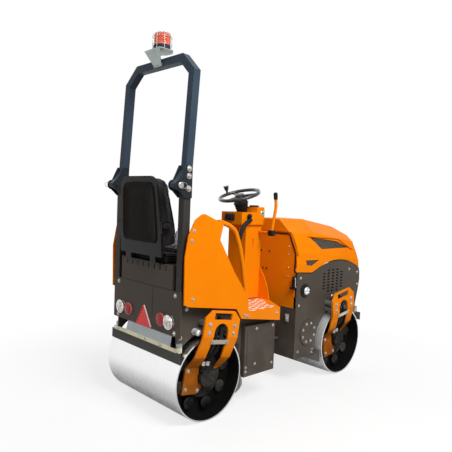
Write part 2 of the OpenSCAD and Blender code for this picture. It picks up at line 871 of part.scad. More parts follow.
module front_drum() {
  color(STEEL) drum(1);
}

module front_buffers() {
  color(BLACK) buffers(1);
}

front_strip_x = 1034;

// Scraper strips in front of and behind the front drum
module front_scraper() {
  inner_x = axle_x - drum_r - 12;
  color(STEEL) {
    box([front_strip_x, -scraper_half, strip_z[0]],
      [front_strip_x + strip_t, scraper_half, strip_z[1]]);
    both_sides() box([1000, frame_half, 480], [front_strip_x, scraper_half, 540]);
    box([inner_x, 5 - drum_end, belly_z - 60], [inner_x + strip_t, drum_end - 5, belly_z + 36]);
    both_sides() box([bay_x + sheet_t, 280, belly_z + 10], [inner_x, 310, belly_z + 30]);
  }
}

module front_flap() {
  color(BLACK) box([front_strip_x, -drum_end, flap_z], [front_strip_x + strip_t, drum_end, strip_z[0]]);
}

module engine() {
  color(GREY) box([420, -220, bay_z + sheet_t], [900, 220, 860]);
}

module cover_plates() {
  color(GREY) both_sides() cyl_y(353, 400, 105, frame_half, frame_half + 8);
}

module filler_caps() {
  color(STEEL) both_sides() {
    cyl_y(288, 748, 52, frame_half, frame_half + 6);
    cyl_y(288, 748, 32, frame_half + 6, frame_half + 22);
  }
}

module head_lamps() {
  x = nose_plate_x + sheet_t;
  color("white") both_sides() cyl_x(200, 740, 60, x, x + 27);
}

// Hood

hood_bend = 480;
hood_drop = 9;
nose_at = [900, 1180];
nose_drop = 25;
nose_rise = 56;
hood_top = 1308;

// Cross section of the hood, drawn smaller by an inset
function hood_section(k) = mirrored([[frame_half - k, 700], [frame_half - 2 - k, 960],
  [frame_half - 12 - k, 1045], [frame_half - 40 - k, 1115 - 0.3 * k],
  [frame_half - 83 - 0.8 * k, 1202 - 0.6 * k], [frame_half - 205 - 0.4 * k, hood_top - k]]);

// Outer form of the hood: level at the rear, then sloping, and cut off at the nose
module hood_form(k) {
  cross_plate(wall_x - 6 + k, hood_bend + 1) polygon(hood_section(k));
  intersection() {
    translate([hood_bend, 0, 1250]) rotate([0, hood_drop, 0]) translate([0, 0, -1250])
      cross_plate(-200, 900) polygon(hood_section(k));
    box([hood_bend, -500, 700], [nose_x - k, 500, 1400]);
    translate([nose_at.x, 0, nose_at.y]) rotate([0, nose_drop, 0]) translate([-900, -500, -880])
      cube([1800, 1000, 880 + nose_rise - k]);
  }
}

// Room for the panels and the wall that the hood closes on
module hood_cut() {
  side_plate(-500, 500) polygon(concat([[wall_x - 20, 500], [wall_x - 20, panel_top[0].y + hood_gap]],
    [for (p = panel_top) [p.x, p.y + hood_gap]], [[nose_x + 20, 884 + hood_gap], [nose_x + 20, 500]]));
  cross_plate(wall_x - 30, wall_x + 20) polygon(wall_outline(21, 600));
  both_sides() box([nose_x - 20, hinge_y - 36, 700], [nose_x + 20, hinge_y + 36, hinge_z + 18]);
}

hinge_x = 1072;
hinge_z = 884;
hinge_y = 200;
hinge_pin_r = 5;

module hood_ears() {
  both_sides() difference() {
    union() {
      cyl_y(hinge_x, hinge_z, 12, hinge_y - 18, hinge_y + 18);
      box([nose_x - hood_t, hinge_y - 18, hinge_z], [nose_x + 6, hinge_y + 18, hinge_z + 40]);
    }
    cyl_y(hinge_x, hinge_z, hinge_pin_r + 0.3, hinge_y - 20, hinge_y + 20);
  }
}

// Outline of the long vent, grown by a margin
module long_vent(m) {
  polygon([[425 - 2.6 * m, 1166 + 0.4 * m], [540 - 0.9 * m, 1066 - m], [985 + 2 * m, 1060 - m],
    [820 + m, 1120 + m]]);
}

module small_vent(m) {
  polygon([[293 - m, 988 + 0.8 * m], [470 + 2 * m, 984 + 0.8 * m], [372 + 0.2 * m, 942 - m],
    [301 - m, 950 - 0.8 * m]]);
}

// Sheet of the hood's form between two insets, kept inside an outline on both sides
module hood_sheet(k0, k1) {
  intersection() {
    difference() {
      hood_form(k0);
      hood_form(k1);
    }
    both_sides() side_plate(150, 500) children();
  }
}

// Hood with a recessed frame round each long vent
module hood() {
  color(ORANGE) {
    difference() {
      hood_form(0);
      hood_form(hood_t);
      hood_cut();
      both_sides() side_plate(150, 500) {
        long_vent(24);
        small_vent(0);
      }
    }
    hood_sheet(0, vent_depth + hood_t) difference() {
      long_vent(24);
      long_vent(20);
    }
    hood_sheet(vent_depth, vent_depth + hood_t) difference() {
      long_vent(21);
      long_vent(0);
    }
    hood_ears();
  }
}

// Mesh behind the vents
module hood_mesh() {
  depth = vent_depth + hood_t;
  color(BLACK) {
    hood_sheet(depth, depth + 3) long_vent(10);
    hood_sheet(hood_t, hood_t + 3) small_vent(10);
  }
}

// Hinge brackets and pins at the hood's front edge
module hood_hinges() {
  x = nose_plate_x + sheet_t;
  color(GREY) both_sides() {
    cyl_y(hinge_x, hinge_z, hinge_pin_r, hinge_y - 30, hinge_y + 30);
    for (y = [hinge_y - 30, hinge_y + 24])
      side_plate(y, y + 6) polygon([[x, 820], [x, 858], [hinge_x, hinge_z + 9],
        [hinge_x + 8, hinge_z], [hinge_x, hinge_z - 9]]);
  }
}

// Rubber straps that hold the hood's rear corners
module hood_latches() {
  color(BLACK) both_sides() {
    box([wall_x - 12, plate_in - 4, 790], [wall_x, frame_half - 2, 880]);
    box([wall_x - 18, plate_in - 12, 850], [wall_x - 12, frame_half + 4, 868]);
  }
}

rear_chassis();
rear_sides();
foot_boxes();
floor_step();
side_shields();
handrails();
seat_base();
seat_shell();
seat_back();
seat_cushion();
roll_posts();
steering_column();
dash_box();
dash_controls();
travel_lever();
rear_scraper();
rear_flap();
work_lamps();
tail_lamps();
rear_reflector();
rear_yokes();
rear_mounts();
rear_motors();
rear_hoses();
rear_pivot();
rear_drum();
rear_buffers();
roll_hoop();
beacon_bracket();
beacon_base();
beacon_lens();
steering_wheel();
front_chassis();
front_sides();
front_wall();
wall_seal();
front_pivot();
front_yokes();
front_mounts();
front_motors();
front_hoses();
front_scraper();
front_flap();
engine();
cover_plates();
filler_caps();
head_lamps();
front_drum();
front_buffers();
hood();
hood_mesh();
hood_latches();
hood_hinges();
steer_barrel();
steer_rod();
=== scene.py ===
"""Looks of the ride-on tandem road roller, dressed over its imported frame.

Lengths are in metres. Profiles, prisms, boxes and bolt heads are in millimetres.
"""

import itertools
import math

import bmesh
import bpy
from mathutils import Matrix, Vector
from mathutils.bvhtree import BVHTree


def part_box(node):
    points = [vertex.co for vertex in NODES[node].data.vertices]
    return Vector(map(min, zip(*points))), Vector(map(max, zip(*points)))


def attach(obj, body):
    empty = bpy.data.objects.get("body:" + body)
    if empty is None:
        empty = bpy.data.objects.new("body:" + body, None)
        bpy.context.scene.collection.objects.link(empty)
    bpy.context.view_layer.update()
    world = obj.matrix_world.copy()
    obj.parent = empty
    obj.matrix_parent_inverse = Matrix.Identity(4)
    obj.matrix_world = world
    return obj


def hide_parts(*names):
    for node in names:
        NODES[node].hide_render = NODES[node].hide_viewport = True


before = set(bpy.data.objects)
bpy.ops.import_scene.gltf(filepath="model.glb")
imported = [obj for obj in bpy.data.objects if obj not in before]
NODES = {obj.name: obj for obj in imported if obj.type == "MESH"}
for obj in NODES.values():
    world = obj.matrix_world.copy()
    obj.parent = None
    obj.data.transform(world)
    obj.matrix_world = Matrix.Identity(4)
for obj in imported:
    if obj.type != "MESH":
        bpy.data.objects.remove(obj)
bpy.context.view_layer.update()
scene = bpy.context.scene

# Camera of the photograph
CAMERA_AZIMUTH = math.radians(-43.389)
CAMERA_ELEVATION = math.radians(3.104)
CAMERA_ROLL = math.radians(2.184)
CAMERA_PLACE = Vector((-2.89488, -2.7688, 1.45445))
FOCAL_PIXELS = 498.506
IMAGE_PIXELS = 452
SENSOR_MM = 36.0

X_AXIS = Vector((1, 0, 0))
Y_AXIS = Vector((0, 1, 0))
Z_AXIS = Vector((0, 0, 1))
SIDES = (-1, 1)
MM = 0.001

# Sizes shared with the part's source
AXLE_X = 0.75
DRUM_R = 0.28
BUFFER_CIRCLE = 0.195
BUFFER_OUT = 0.322
FRAME_Y = 0.345
BOX_Y = 0.385
SHIELD_Y = 0.42
YOKE_Y = 0.446
FOOT_Y = 0.346
YOKE_LEAN = math.radians(9)
HOSE_SIDE = 0.019
POST_IN = 0.332
POST_OUT = 0.384
POST_FRONT = -0.948
EAR_Y = 0.395
REAR_X = -1.0
COLUMN_X = -0.155
WALL_X = 0.185
FLOOR_Z = 0.68
DECK_Z = 0.867
CAP_X, CAP_Y, CAP_Z = 0.288, 0.351, 0.748
BEACON = Vector((-0.923, 0.0, 2.414))
WHEEL_SPOT = Matrix.Translation((-0.145, 0.0, 1.487)) @ Matrix.Rotation(math.radians(-18), 4, "Y")
SEAT_PLACE = Vector((-1.046, 0.0, 1.034))
SEAT_TURN = Matrix.Rotation(math.radians(-4), 4, "Y")
SEAT_SPOT = Matrix.Translation(SEAT_PLACE) @ SEAT_TURN

ORANGE = (0.94, 0.25, 0.003)
ORANGE_SHADE = (0.88, 0.215, 0.002)


# Materials

class Tree:
    """Short calls that build a node tree."""

    def __init__(self, owner):
        owner.use_nodes = True
        self.tree = owner.node_tree

    def add(self, kind, **settings):
        node = self.tree.nodes.new("ShaderNode" + kind)
        for key, value in settings.items():
            setattr(node, key, value)
        return node

    def put(self, socket, value):
        """Links a socket to its source, or sets its value."""
        if isinstance(value, bpy.types.NodeSocket):
            self.tree.links.new(value, socket)
        elif isinstance(value, tuple) and len(value) == 3 and socket.type == "RGBA":
            socket.default_value = (*value, 1)
        else:
            socket.default_value = value

    def fill(self, node, values, output=0):
        """Fills a node's sockets and returns one of its outputs."""
        for key, value in values.items():
            self.put(node.inputs[key], value)
        return node.outputs[output]

    def calc(self, operation, a, b=0):
        return self.fill(self.add("Math", operation=operation), {0: a, 1: b})

    def times(self, *values):
        """Product of two or more numbers."""
        product = values[0]
        for value in values[1:]:
            product = self.calc("MULTIPLY", product, value)
        return product

    def span(self, value, start, end, low=0, high=1):
        """A number that runs from low to high as a value goes from start to end."""
        return self.fill(self.add("MapRange"), dict(enumerate((value, start, end, low, high))))

    def mix(self, share, a, b):
        return self.fill(self.add("Mix", data_type="RGBA"), {0: share, 6: a, 7: b}, 2)

    def blend(self, share, a, b):
        return self.fill(self.add("Mix", data_type="FLOAT"), {0: share, 2: a, 3: b})

    def mix_shaders(self, share, a, b):
        return self.fill(self.add("MixShader"), {0: share, 1: a, 2: b})

    def background_rays(self, glossy):
        """Share of white background for a ray: all for the camera and glass, a given share for gloss."""
        path = self.add("LightPath").outputs
        share = self.times(path["Is Glossy Ray"], glossy)
        for ray in ("Is Camera Ray", "Is Transmission Ray"):
            share = self.calc("MAXIMUM", share, path[ray])
        return share


class Graph(Tree):
    """A material's tree, on the object's own coordinates."""

    SOCKETS = {"colour": "Base Color", "gloss": "Specular IOR Level"}

    def __init__(self, name):
        self.material = bpy.data.materials.new(name)
        super().__init__(self.material)
        self.shader = self.tree.nodes["Principled BSDF"]
        self.set(gloss=0.09)
        self.place = self.add("TexCoord").outputs["Object"]
        split = self.add("SeparateXYZ")
        self.put(split.inputs[0], self.place)
        self.x, self.y, self.z = split.outputs

    def set(self, **values):
        """Sets the shader's sockets by name, and returns the material."""
        for name, value in values.items():
            socket = self.SOCKETS.get(name, name.replace("_", " ").title())
            self.put(self.shader.inputs[socket], value)
        return self.material

    def noise(self, scale, detail=3, place=None):
        return self.fill(self.add("TexNoise"), {"Vector": place or self.place, "Scale": scale, "Detail": detail})

    def cells(self, scale, randomness=1, distance="EUCLIDEAN"):
        return self.fill(self.add("TexVoronoi", distance=distance),
                         {"Vector": self.place, "Scale": scale, "Randomness": randomness})

    def tone(self, value, start, end, a, b):
        """A colour that runs from a to b as a value goes from start to end."""
        return self.mix(self.span(value, start, end), a, b)

    def stretched(self, x, y, z):
        return self.fill(self.add("CombineXYZ"), {0: x, 1: y, 2: z})

    def rounded(self, radius):
        """Normal that rounds the edges."""
        return self.fill(self.add("Bevel", samples=4), {"Radius": radius})

    def edges(self, normal):
        """Mask of the edges where a rounded normal leaves the flat one."""
        flat = self.add("NewGeometry").outputs["Normal"]
        dot = self.add("VectorMath", operation="DOT_PRODUCT")
        return self.span(self.fill(dot, {0: normal, 1: flat}, "Value"), 0.985, 0.82)

    def bump(self, height, distance, strength=1, normal=None):
        values = {"Strength": strength, "Distance": distance, "Height": height}
        if normal:
            values["Normal"] = normal
        return self.fill(self.add("Bump"), values)

    def polar(self, across, up):
        """Radius and angle about an axis, from two coordinates measured from it."""
        square = self.calc("ADD", self.times(across, across), self.times(up, up))
        return self.calc("SQRT", square), self.calc("ARCTAN2", up, across)


def paint(name, colour, shade, edge, roughness, peel, gloss, dust, drum_shade=0):
    """Sprayed paint: uneven tone, fine orange peel, brighter edges, dust low down, and a painted shade where a part
    reaches inside a drum's end.
    """
    g = Graph(name)
    normal = g.rounded(0.0035)
    chips = g.times(g.edges(normal), g.span(g.noise(55, 5), 0.44, 0.6), 0.55)
    tone = g.mix(chips, g.tone(g.noise(1.9, 4), 0.35, 0.7, colour, shade), edge)
    film = g.times(g.span(g.z, 0.75, 0.2), g.span(g.noise(7, 6), 0.42, 0.7), dust)
    tone = g.mix(film, tone, (0.36, 0.33, 0.29))
    if drum_shade:
        # Painted shade inside the drums' ends: darker brown where the part reaches within a drum, broken up by noise.
        reach = g.span(g.calc("ABSOLUTE", g.y), 0.425, 0.385)
        painted_shade = g.times(reach, g.span(g.noise(9, 5), 0.25, 0.6, 0.7 * drum_shade, drum_shade))
        tone = g.mix(painted_shade, tone, (0.06, 0.026, 0.008))
    spots = g.span(g.noise(26, 4), 0.3, 0.72, roughness - 0.03, roughness + 0.04)
    waves = g.bump(g.noise(330, 2), 0.0006, peel, normal)
    return g.set(
        colour=tone, roughness=g.calc("ADD", spots, g.times(film, 1.2)), gloss=gloss,
        normal=g.bump(g.noise(6, 2), 0.004, 0.05, waves))


def bar_paint(name, foot_z=None):
    """Dark blue-grey powder coat, warmer below a height."""
    g = Graph(name)
    tone = g.tone(g.noise(3, 4), 0.35, 0.7, (0.032, 0.05, 0.074), (0.04, 0.061, 0.087))
    if foot_z:
        tone = g.tone(g.z, foot_z + 0.006, foot_z - 0.006, (0.019, 0.024, 0.03), (0.042, 0.037, 0.034))
    normal = g.rounded(0.006)
    return g.set(
        colour=g.mix(g.times(g.edges(normal), 0.3), tone, (0.11, 0.13, 0.16)),
        roughness=g.span(g.noise(18, 4), 0.3, 0.72, 0.36, 0.5),
        normal=g.bump(g.noise(420, 2), 0.0008, 0.25, normal))


def drum_steel(name, axle_x, metallic):
    """Rolled steel: fine lines round the shell, faint patches, and black on the inside."""
    g = Graph(name)
    radius, angle = g.polar(g.calc("SUBTRACT", g.x, axle_x), g.calc("SUBTRACT", g.z, DRUM_R))
    inside = g.span(radius, 0.272, 0.27)
    lines = g.noise(1, 6, g.stretched(g.times(angle, 0.9), g.times(g.y, 160), 0))
    patches = g.noise(4, 5)
    steel = g.tone(lines, 0.25, 0.75, (0.84, 0.84, 0.85), (0.88, 0.88, 0.89))
    steel = g.mix(g.span(patches, 0.56, 0.78, 0, 0.14), steel, (0.58, 0.56, 0.54))
    black = g.tone(patches, 0.35, 0.7, (0.004, 0.004, 0.004), (0.01, 0.009, 0.008))
    return g.set(
        colour=g.mix(inside, steel, black), metallic=g.blend(inside, metallic, 0),
        roughness=g.blend(inside, g.span(lines, 0.28, 0.72, 0.24, 0.3), 0.62),
        normal=g.bump(g.calc("ADD", lines, g.times(patches, 0.5)), 0.0004, 0.03))


def metal(name, colour, shade, roughness, spangle=140, metallic=1, relief=0.1):
    """Plated or bare metal with a mottled surface."""
    g = Graph(name)
    cloud = g.noise(11, 5)
    share = g.calc("ADD", g.span(g.cells(spangle), 0, 0.6, 0, 0.55), g.span(cloud, 0.35, 0.7, 0, 0.45))
    normal = g.rounded(0.002)
    return g.set(
        colour=g.mix(g.times(g.edges(normal), 0.4), g.mix(share, colour, shade), (0.85, 0.84, 0.8)),
        metallic=metallic, roughness=g.span(cloud, 0.3, 0.72, roughness - 0.07, roughness + 0.1),
        normal=g.bump(g.noise(260, 3), 0.0005, relief, normal))


def scraper_zinc(name):
    """Yellow plated strip, a bluish guard over it, and bare steel between the drums."""
    g = Graph(name)
    cloud = g.noise(10, 5)
    strip, guard, bare = (g.tone(cloud, 0.35, 0.7, a, b) for a, b in (
        ((0.58, 0.54, 0.36), (0.44, 0.4, 0.25)), ((0.2, 0.24, 0.28), (0.28, 0.31, 0.34)),
        ((0.26, 0.25, 0.23), (0.17, 0.16, 0.15))))
    tone = g.tone(g.z, 0.42, 0.41, g.tone(g.z, 0.515, 0.5165, strip, guard), bare)
    flecks = g.span(g.cells(120), 0, 0.5, 0, 0.25)
    return g.set(
        colour=g.mix(flecks, tone, (0.6, 0.58, 0.5)), metallic=0.75,
        roughness=g.span(cloud, 0.3, 0.72, 0.34, 0.52),
        normal=g.bump(g.noise(240, 3), 0.0006, 0.15, g.rounded(0.002)))


def rubber(name, colour=(0.012, 0.012, 0.013), bloom=(0.045, 0.043, 0.04)):
    """Black rubber with a grey bloom and a fine grain."""
    g = Graph(name)
    cloud = g.noise(9, 6)
    return g.set(
        colour=g.mix(g.span(cloud, 0.45, 0.8, 0, 0.7), colour, bloom),
        roughness=g.span(cloud, 0.3, 0.7, 0.58, 0.8),
        normal=g.bump(g.noise(520, 3), 0.0006, 0.3, g.rounded(0.003)))


def seal_rubber(name):
    """Dark edge trim of the wall, over its painted lower edge."""
    g = Graph(name)
    cloud = g.noise(9, 5)
    trim = g.tone(cloud, 0.4, 0.75, (0.02, 0.008, 0.005), (0.045, 0.018, 0.009))
    return g.set(
        colour=g.tone(g.z, 0.897, 0.893, trim, ORANGE_SHADE),
        roughness=g.span(cloud, 0.3, 0.7, 0.46, 0.62),
        normal=g.bump(g.noise(420, 3), 0.0005, 0.2, g.rounded(0.002)))


def hose_rubber(name):
    """Hoses with a wrapped cover, held by a plated bar outside them."""
    g = Graph(name)
    side = g.calc("ABSOLUTE", g.y)
    bar = g.span(side, 0.4362, 0.4368)
    wrap = g.noise(1, 2, g.stretched(g.times(g.x, 60), g.times(side, 60), g.times(g.z, 420)))
    cloud = g.noise(14, 5)
    black = g.tone(cloud, 0.45, 0.8, (0.01, 0.01, 0.011), (0.04, 0.038, 0.036))
    plated = g.mix(g.cells(150), (0.55, 0.52, 0.4), (0.66, 0.62, 0.46))
    return g.set(
        colour=g.mix(bar, black, plated), metallic=g.times(bar, 0.9),
        roughness=g.blend(bar, g.span(cloud, 0.3, 0.7, 0.48, 0.66), 0.36),
        normal=g.bump(wrap, 0.0012, 0.35))


def moulded(name, colour, shade, roughness, grain=620, relief=0.3, gloss=0.09):
    """Moulded plastic with a leather-like spark-eroded grain."""
    g = Graph(name)
    return g.set(
        colour=g.tone(g.noise(4.5, 5), 0.35, 0.72, colour, shade), gloss=gloss,
        roughness=g.span(g.noise(30, 4), 0.3, 0.7, roughness - 0.05, roughness + 0.1),
        normal=g.bump(g.cells(grain), 0.0005, relief, g.rounded(0.003)))


def vinyl(name):
    """Black seat vinyl: fine pebble grain with slow creases."""
    g = Graph(name)
    creases = g.bump(g.noise(16, 5), 0.006, 0.2)
    return g.set(
        colour=g.tone(g.noise(6, 6), 0.35, 0.75, (0.01, 0.01, 0.011), (0.026, 0.025, 0.025)),
        roughness=g.span(g.noise(34, 4), 0.3, 0.7, 0.38, 0.56), sheen_weight=0.08,
        normal=g.bump(g.cells(760), 0.0006, 0.45, creases))


def lens(name, colour, deep, facet, glow, roughness=0.1, metallic=0):
    """Lamp lens with a prismatic grid moulded behind a smooth front."""
    g = Graph(name)
    grid = g.cells(facet, 0, "CHEBYCHEV")
    spark = g.span(g.noise(facet * 0.55, 2), 0.44, 0.58)
    return g.set(
        colour=g.mix(g.calc("MAXIMUM", spark, g.span(grid, 0.75, 1)), colour, deep),
        roughness=g.span(grid, 0, 1, roughness, roughness + 0.15), metallic=metallic,
        coat_weight=0.35, coat_roughness=0.04, emission_color=colour, emission_strength=glow,
        normal=g.bump(grid, 0.002, 0.55))


def beacon_lens(name):
    """Orange-red beacon lens with upright flutes."""
    g = Graph(name)
    flutes = g.calc("SINE", g.times(g.polar(g.calc("SUBTRACT", g.x, BEACON.x), g.y)[1], 36))
    height = g.span(g.z, BEACON.z + 0.04, BEACON.z + 0.11)
    return g.set(
        colour=g.tone(flutes, -1, 1, (0.84, 0.12, 0.03), (0.62, 0.06, 0.018)),
        roughness=g.span(height, 0, 1, 0.18, 0.1), transmission_weight=0.2, coat_weight=1,
        coat_roughness=0.05, emission_color=(0.9, 0.1, 0.01), emission_strength=0.1,
        normal=g.bump(flutes, 0.0016, 0.6))


def vent_mesh(name):
    """Expanded metal: light lozenge wires over gaps painted near-black, a painted shade for the dark inside behind the
    openings.
    """
    g = Graph(name)
    rise = g.times(g.z, 1.6)
    ways = [g.calc("ABSOLUTE", g.calc("SINE", g.times(g.calc(way, g.x, rise), 150))) for way in ("ADD", "SUBTRACT")]
    wire = g.span(g.calc("MINIMUM", *ways), 0.34, 0.18)
    return g.set(
        # The near-black between the wires is painted shade.
        colour=g.mix(wire, (0.005, 0.005, 0.005), (0.34, 0.29, 0.22)), metallic=g.times(wire, 0.2),
        roughness=g.blend(wire, 0.85, 0.42), normal=g.bump(wire, 0.003, 0.8))


def tread_paint(name, colour, shade, pale):
    """Floor plate: raised lozenges with their paint worn to bright metal, painted near-white as a painted highlight as
    well.
    """
    g = Graph(name)
    cloud = g.noise(5, 5)
    worn_and_highlight = g.times(g.span(g.z, FLOOR_Z + 0.0004, FLOOR_Z + 0.0016), g.span(cloud, 0.3, 0.6, 0.8, 1))
    return g.set(
        colour=g.mix(worn_and_highlight, g.tone(g.noise(2.2, 4), 0.35, 0.7, colour, shade), pale),
        roughness=g.span(cloud, 0.3, 0.7, 0.26, 0.44),
        normal=g.bump(g.noise(300, 2), 0.0006, 0.12, g.rounded(0.004)))


ORANGE_COAT = (ORANGE, ORANGE_SHADE, (1, 0.4, 0.04), 0.4, 0.1, 0.015, 0.12)
MATERIALS = {
    "orange": paint("orange_paint", *ORANGE_COAT),
    # The yokes' paint carries a painted shade where they reach inside the drums.
    "yoke": paint("yoke_paint", *ORANGE_COAT, 0.75),
    "grey": paint("grey_paint", (0.074, 0.06, 0.049), (0.088, 0.072, 0.058), (0.17, 0.15, 0.13),
                  0.42, 0.16, 0.07, 0.16),
    "black_paint": paint("black_paint", (0.007, 0.006, 0.006), (0.013, 0.011, 0.01), (0.08, 0.08, 0.08),
                         0.44, 0.16, 0.07, 0.2),
    "bar": bar_paint("bar_paint"),
    "post": bar_paint("post_paint", 1.45),
    "rear_drum": drum_steel("rear_drum_steel", -AXLE_X, 1),
    "front_drum": drum_steel("front_drum_steel", AXLE_X, 0.55),
    "scraper": scraper_zinc("scraper_zinc"),
    "grey_zinc": metal("grey_zinc", (0.42, 0.46, 0.44), (0.3, 0.34, 0.33), 0.4, 90, 0.8),
    "bolt": metal("bolt_steel", (0.52, 0.5, 0.45), (0.36, 0.34, 0.31), 0.36, 300),
    "chrome": metal("chrome", (0.8, 0.8, 0.82), (0.7, 0.7, 0.72), 0.14, 60, 1, 0.03),
    "bright": metal("bright_steel", (0.88, 0.88, 0.87), (0.72, 0.72, 0.71), 0.24, 80, 0.45),
    "plate": metal("catch_plate", (0.6, 0.6, 0.57), (0.48, 0.48, 0.45), 0.4, 200, 0.25),
    "rubber": rubber("rubber"),
    # Darker copy of the rubber: painted shade for the buffers inside the drums.
    "buffer": rubber("buffer_rubber", (0.003, 0.003, 0.003), (0.008, 0.007, 0.007)),
    "seal": seal_rubber("seal_rubber"),
    "flap": rubber("flap_rubber", (0.085, 0.081, 0.075), (0.13, 0.124, 0.115)),
    "hose": hose_rubber("hose_rubber"),
    "vinyl": vinyl("seat_vinyl"),
    "shell": moulded("shell_plastic", (0.005, 0.004, 0.004), (0.009, 0.008, 0.007), 0.34, 620, 0.2, 0.16),
    "panel": moulded("panel_plastic", (0.005, 0.0035, 0.0025), (0.009, 0.006, 0.004), 0.46, 620, 0.3, 0.04),
    "navy": moulded("beacon_plastic", (0.014, 0.022, 0.038), (0.022, 0.032, 0.052), 0.36),
    "plastic": moulded("black_plastic", (0.01, 0.01, 0.011), (0.02, 0.02, 0.021), 0.4, 700, 0.2),
    "wheel": moulded("wheel_plastic", (0.009, 0.009, 0.01), (0.016, 0.016, 0.017), 0.24, 700, 0.08, 0.6),
    "rose": moulded("lamp_rim", (0.6, 0.2, 0.19), (0.5, 0.14, 0.13), 0.3),
    # Painted highlight: the pale colour stands for light caught by one side of the reflector's rim.
    "pale": moulded("highlight_plastic", (0.8, 0.78, 0.74), (0.7, 0.68, 0.64), 0.4),
    "red": lens("red_lens", (0.5, 0.006, 0.01), (0.2, 0.002, 0.004), 120, 0.04),
    # The rear reflector glows faintly: a painted glow, though it is no lamp.
    "triangle": lens("triangle_lens", (0.9, 0.03, 0.018), (0.72, 0.018, 0.012), 150, 0.05),
    "clear": lens("lamp_glass", (0.92, 0.9, 0.85), (0.42, 0.34, 0.3), 95, 0.04, 0.08, 0.35),
    # The start button glows faintly: a painted glow, though it is no lamp.
    "green": lens("green_button", (0.03, 0.42, 0.09), (0.02, 0.3, 0.05), 400, 0.05),
    "beacon": beacon_lens("beacon_lens"),
    "mesh": vent_mesh("vent_mesh"),
    # The pale colour of the lozenge tops is partly wear and partly a painted highlight.
    "tread": tread_paint("tread_paint", ORANGE, ORANGE_SHADE, (0.92, 0.9, 0.87)),
}

NODE_MATERIALS = {
    "grey": "rear_chassis rear_sides foot_boxes seat_base rear_pivot front_chassis front_sides front_pivot "
            "cover_plates hood_hinges",
    "orange": "side_shields handrails steering_column dash_box travel_lever front_wall hood",
    "yoke": "rear_yokes front_yokes",
    "tread": "floor_step",
    "bar": "roll_hoop",
    "post": "roll_posts",
    "rear_drum": "rear_drum",
    "front_drum": "front_drum",
    "scraper": "rear_scraper front_scraper",
    "grey_zinc": "beacon_bracket rear_mounts front_mounts",
    "black_paint": "rear_motors front_motors engine steer_barrel",
    "flap": "rear_flap front_flap",
    "rubber": "hood_latches",
    "buffer": "rear_buffers front_buffers",
    "seal": "wall_seal",
    "hose": "rear_hoses front_hoses",
    "shell": "seat_shell",
    "vinyl": "seat_back seat_cushion",
    "plastic": "dash_controls beacon_base",
    "wheel": "steering_wheel",
    "clear": "work_lamps head_lamps",
    "red": "tail_lamps",
    "triangle": "rear_reflector",
    "beacon": "beacon_lens",
    "mesh": "hood_mesh",
    "chrome": "steer_rod filler_caps",
}


def dress_nodes():
    """Gives every node of the frame its material."""
    for look, names in NODE_MATERIALS.items():
        for name in names.split():
            NODES[name].data.materials.clear()
            NODES[name].data.materials.append(MATERIALS[look])


# Shapes

def new_object(name, data):
    """An object in the scene."""
    thing = bpy.data.objects.new(name, data)
    scene.collection.objects.link(thing)
    return thing


def add_piece(name, look, bm, body="rear_frame", smooth=35):
    """Makes an object from a mesh under construction, with a finish and on a body."""
    mesh = bpy.data.meshes.new(name)
    bmesh.ops.recalc_face_normals(bm, faces=bm.faces)
    bm.to_mesh(mesh)
    bm.free()
    mesh.shade_smooth()
    mesh.set_sharp_from_angle(angle=math.radians(smooth))
    mesh.materials.append(MATERIALS[look])
    piece = new_object(name, mesh)
    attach(piece, body)


def at(place, axis):
    """Frame at a place whose Z runs along an axis."""
    return Matrix.Translation(place) @ Vector(axis).to_track_quat("Z", "Y").to_matrix().to_4x4()


def spun(spot, share):
    """A frame turned about its Z axis by a share of a full turn."""
    return spot @ Matrix.Rotation(2 * math.pi * share, 4, "Z")


def circle(count, offset=0):
    """Cosine and sine of even steps round a circle."""
    angles = [2 * math.pi * (k + offset) / count for k in range(count)]
    return [(math.cos(a), math.sin(a)) for a in angles]


def skin(bm, rings, closed=False):
    """Faces from ring to ring of points; a ring of one point is a tip. Returns the rings' vertices."""
    rings = [[bm.verts.new(point) for point in ring] for ring in rings]
    for low, high in zip(rings, rings[1:] + (rings[:1] if closed else [])):
        for i in range(max(len(low), len(high))):
            corners = [ring[k % len(ring)] for ring, k in ((low, i), (low, i + 1), (high, i + 1), (high, i))]
            corners = list(dict.fromkeys(corners))
            if len(corners) > 2:
                bm.faces.new(corners)
    return rings


def loft(bm, rings):
    """Closed form through rings."""
    rings = skin(bm, rings)
    bm.faces.new(rings[0][::-1])
    bm.faces.new(rings[-1])


def lathe(bm, spot, profile, steps=32):
    """Turns a profile of (radius, height) pairs round the Z axis of a spot."""
    skin(bm, [[spot @ (MM * Vector((radius * c, radius * s, height))) for c, s in circle(steps if radius else 1)]
              for radius, height in profile])


def prism(bm, spot, radius, low, high, sides, chamfer):
    """Regular prism on a spot with a chamfered top."""
    lathe(bm, spot, [(0, low), (radius, low), (radius, high - chamfer), (radius - chamfer, high), (0, high)], sides)


def hex_bolt(bm, place, axis, size):
    """Washer, chamfered hexagon head and the shank's end; size is half the head's width."""
    spot = at(place, axis)
    lathe(bm, spot, [(0, -0.4), (1.75 * size, -0.4), (1.75 * size, 0.16 * size), (1.65 * size, 0.24 * size),
                     (0, 0.24 * size)], 24)
    prism(bm, spot, 1.15 * size, 0.24 * size, 0.95 * size, 6, 0.14 * size)
    lathe(bm, spot, [(0.55 * size, 0.94 * size), (0.55 * size, 1.2 * size), (0.4 * size, 1.32 * size),
                     (0, 1.32 * size)], 12)


def button_bolt(bm, place, axis, size):
    """Round head with a socket."""
    lathe(bm, at(place, axis),
          [(0, -0.4), (1.3 * size, -0.4), (1.3 * size, 0.2 * size), (1.1 * size, 0.55 * size),
           (0.7 * size, 0.75 * size), (0.45 * size, 0.75 * size), (0.42 * size, 0.45 * size), (0, 0.45 * size)], 20)


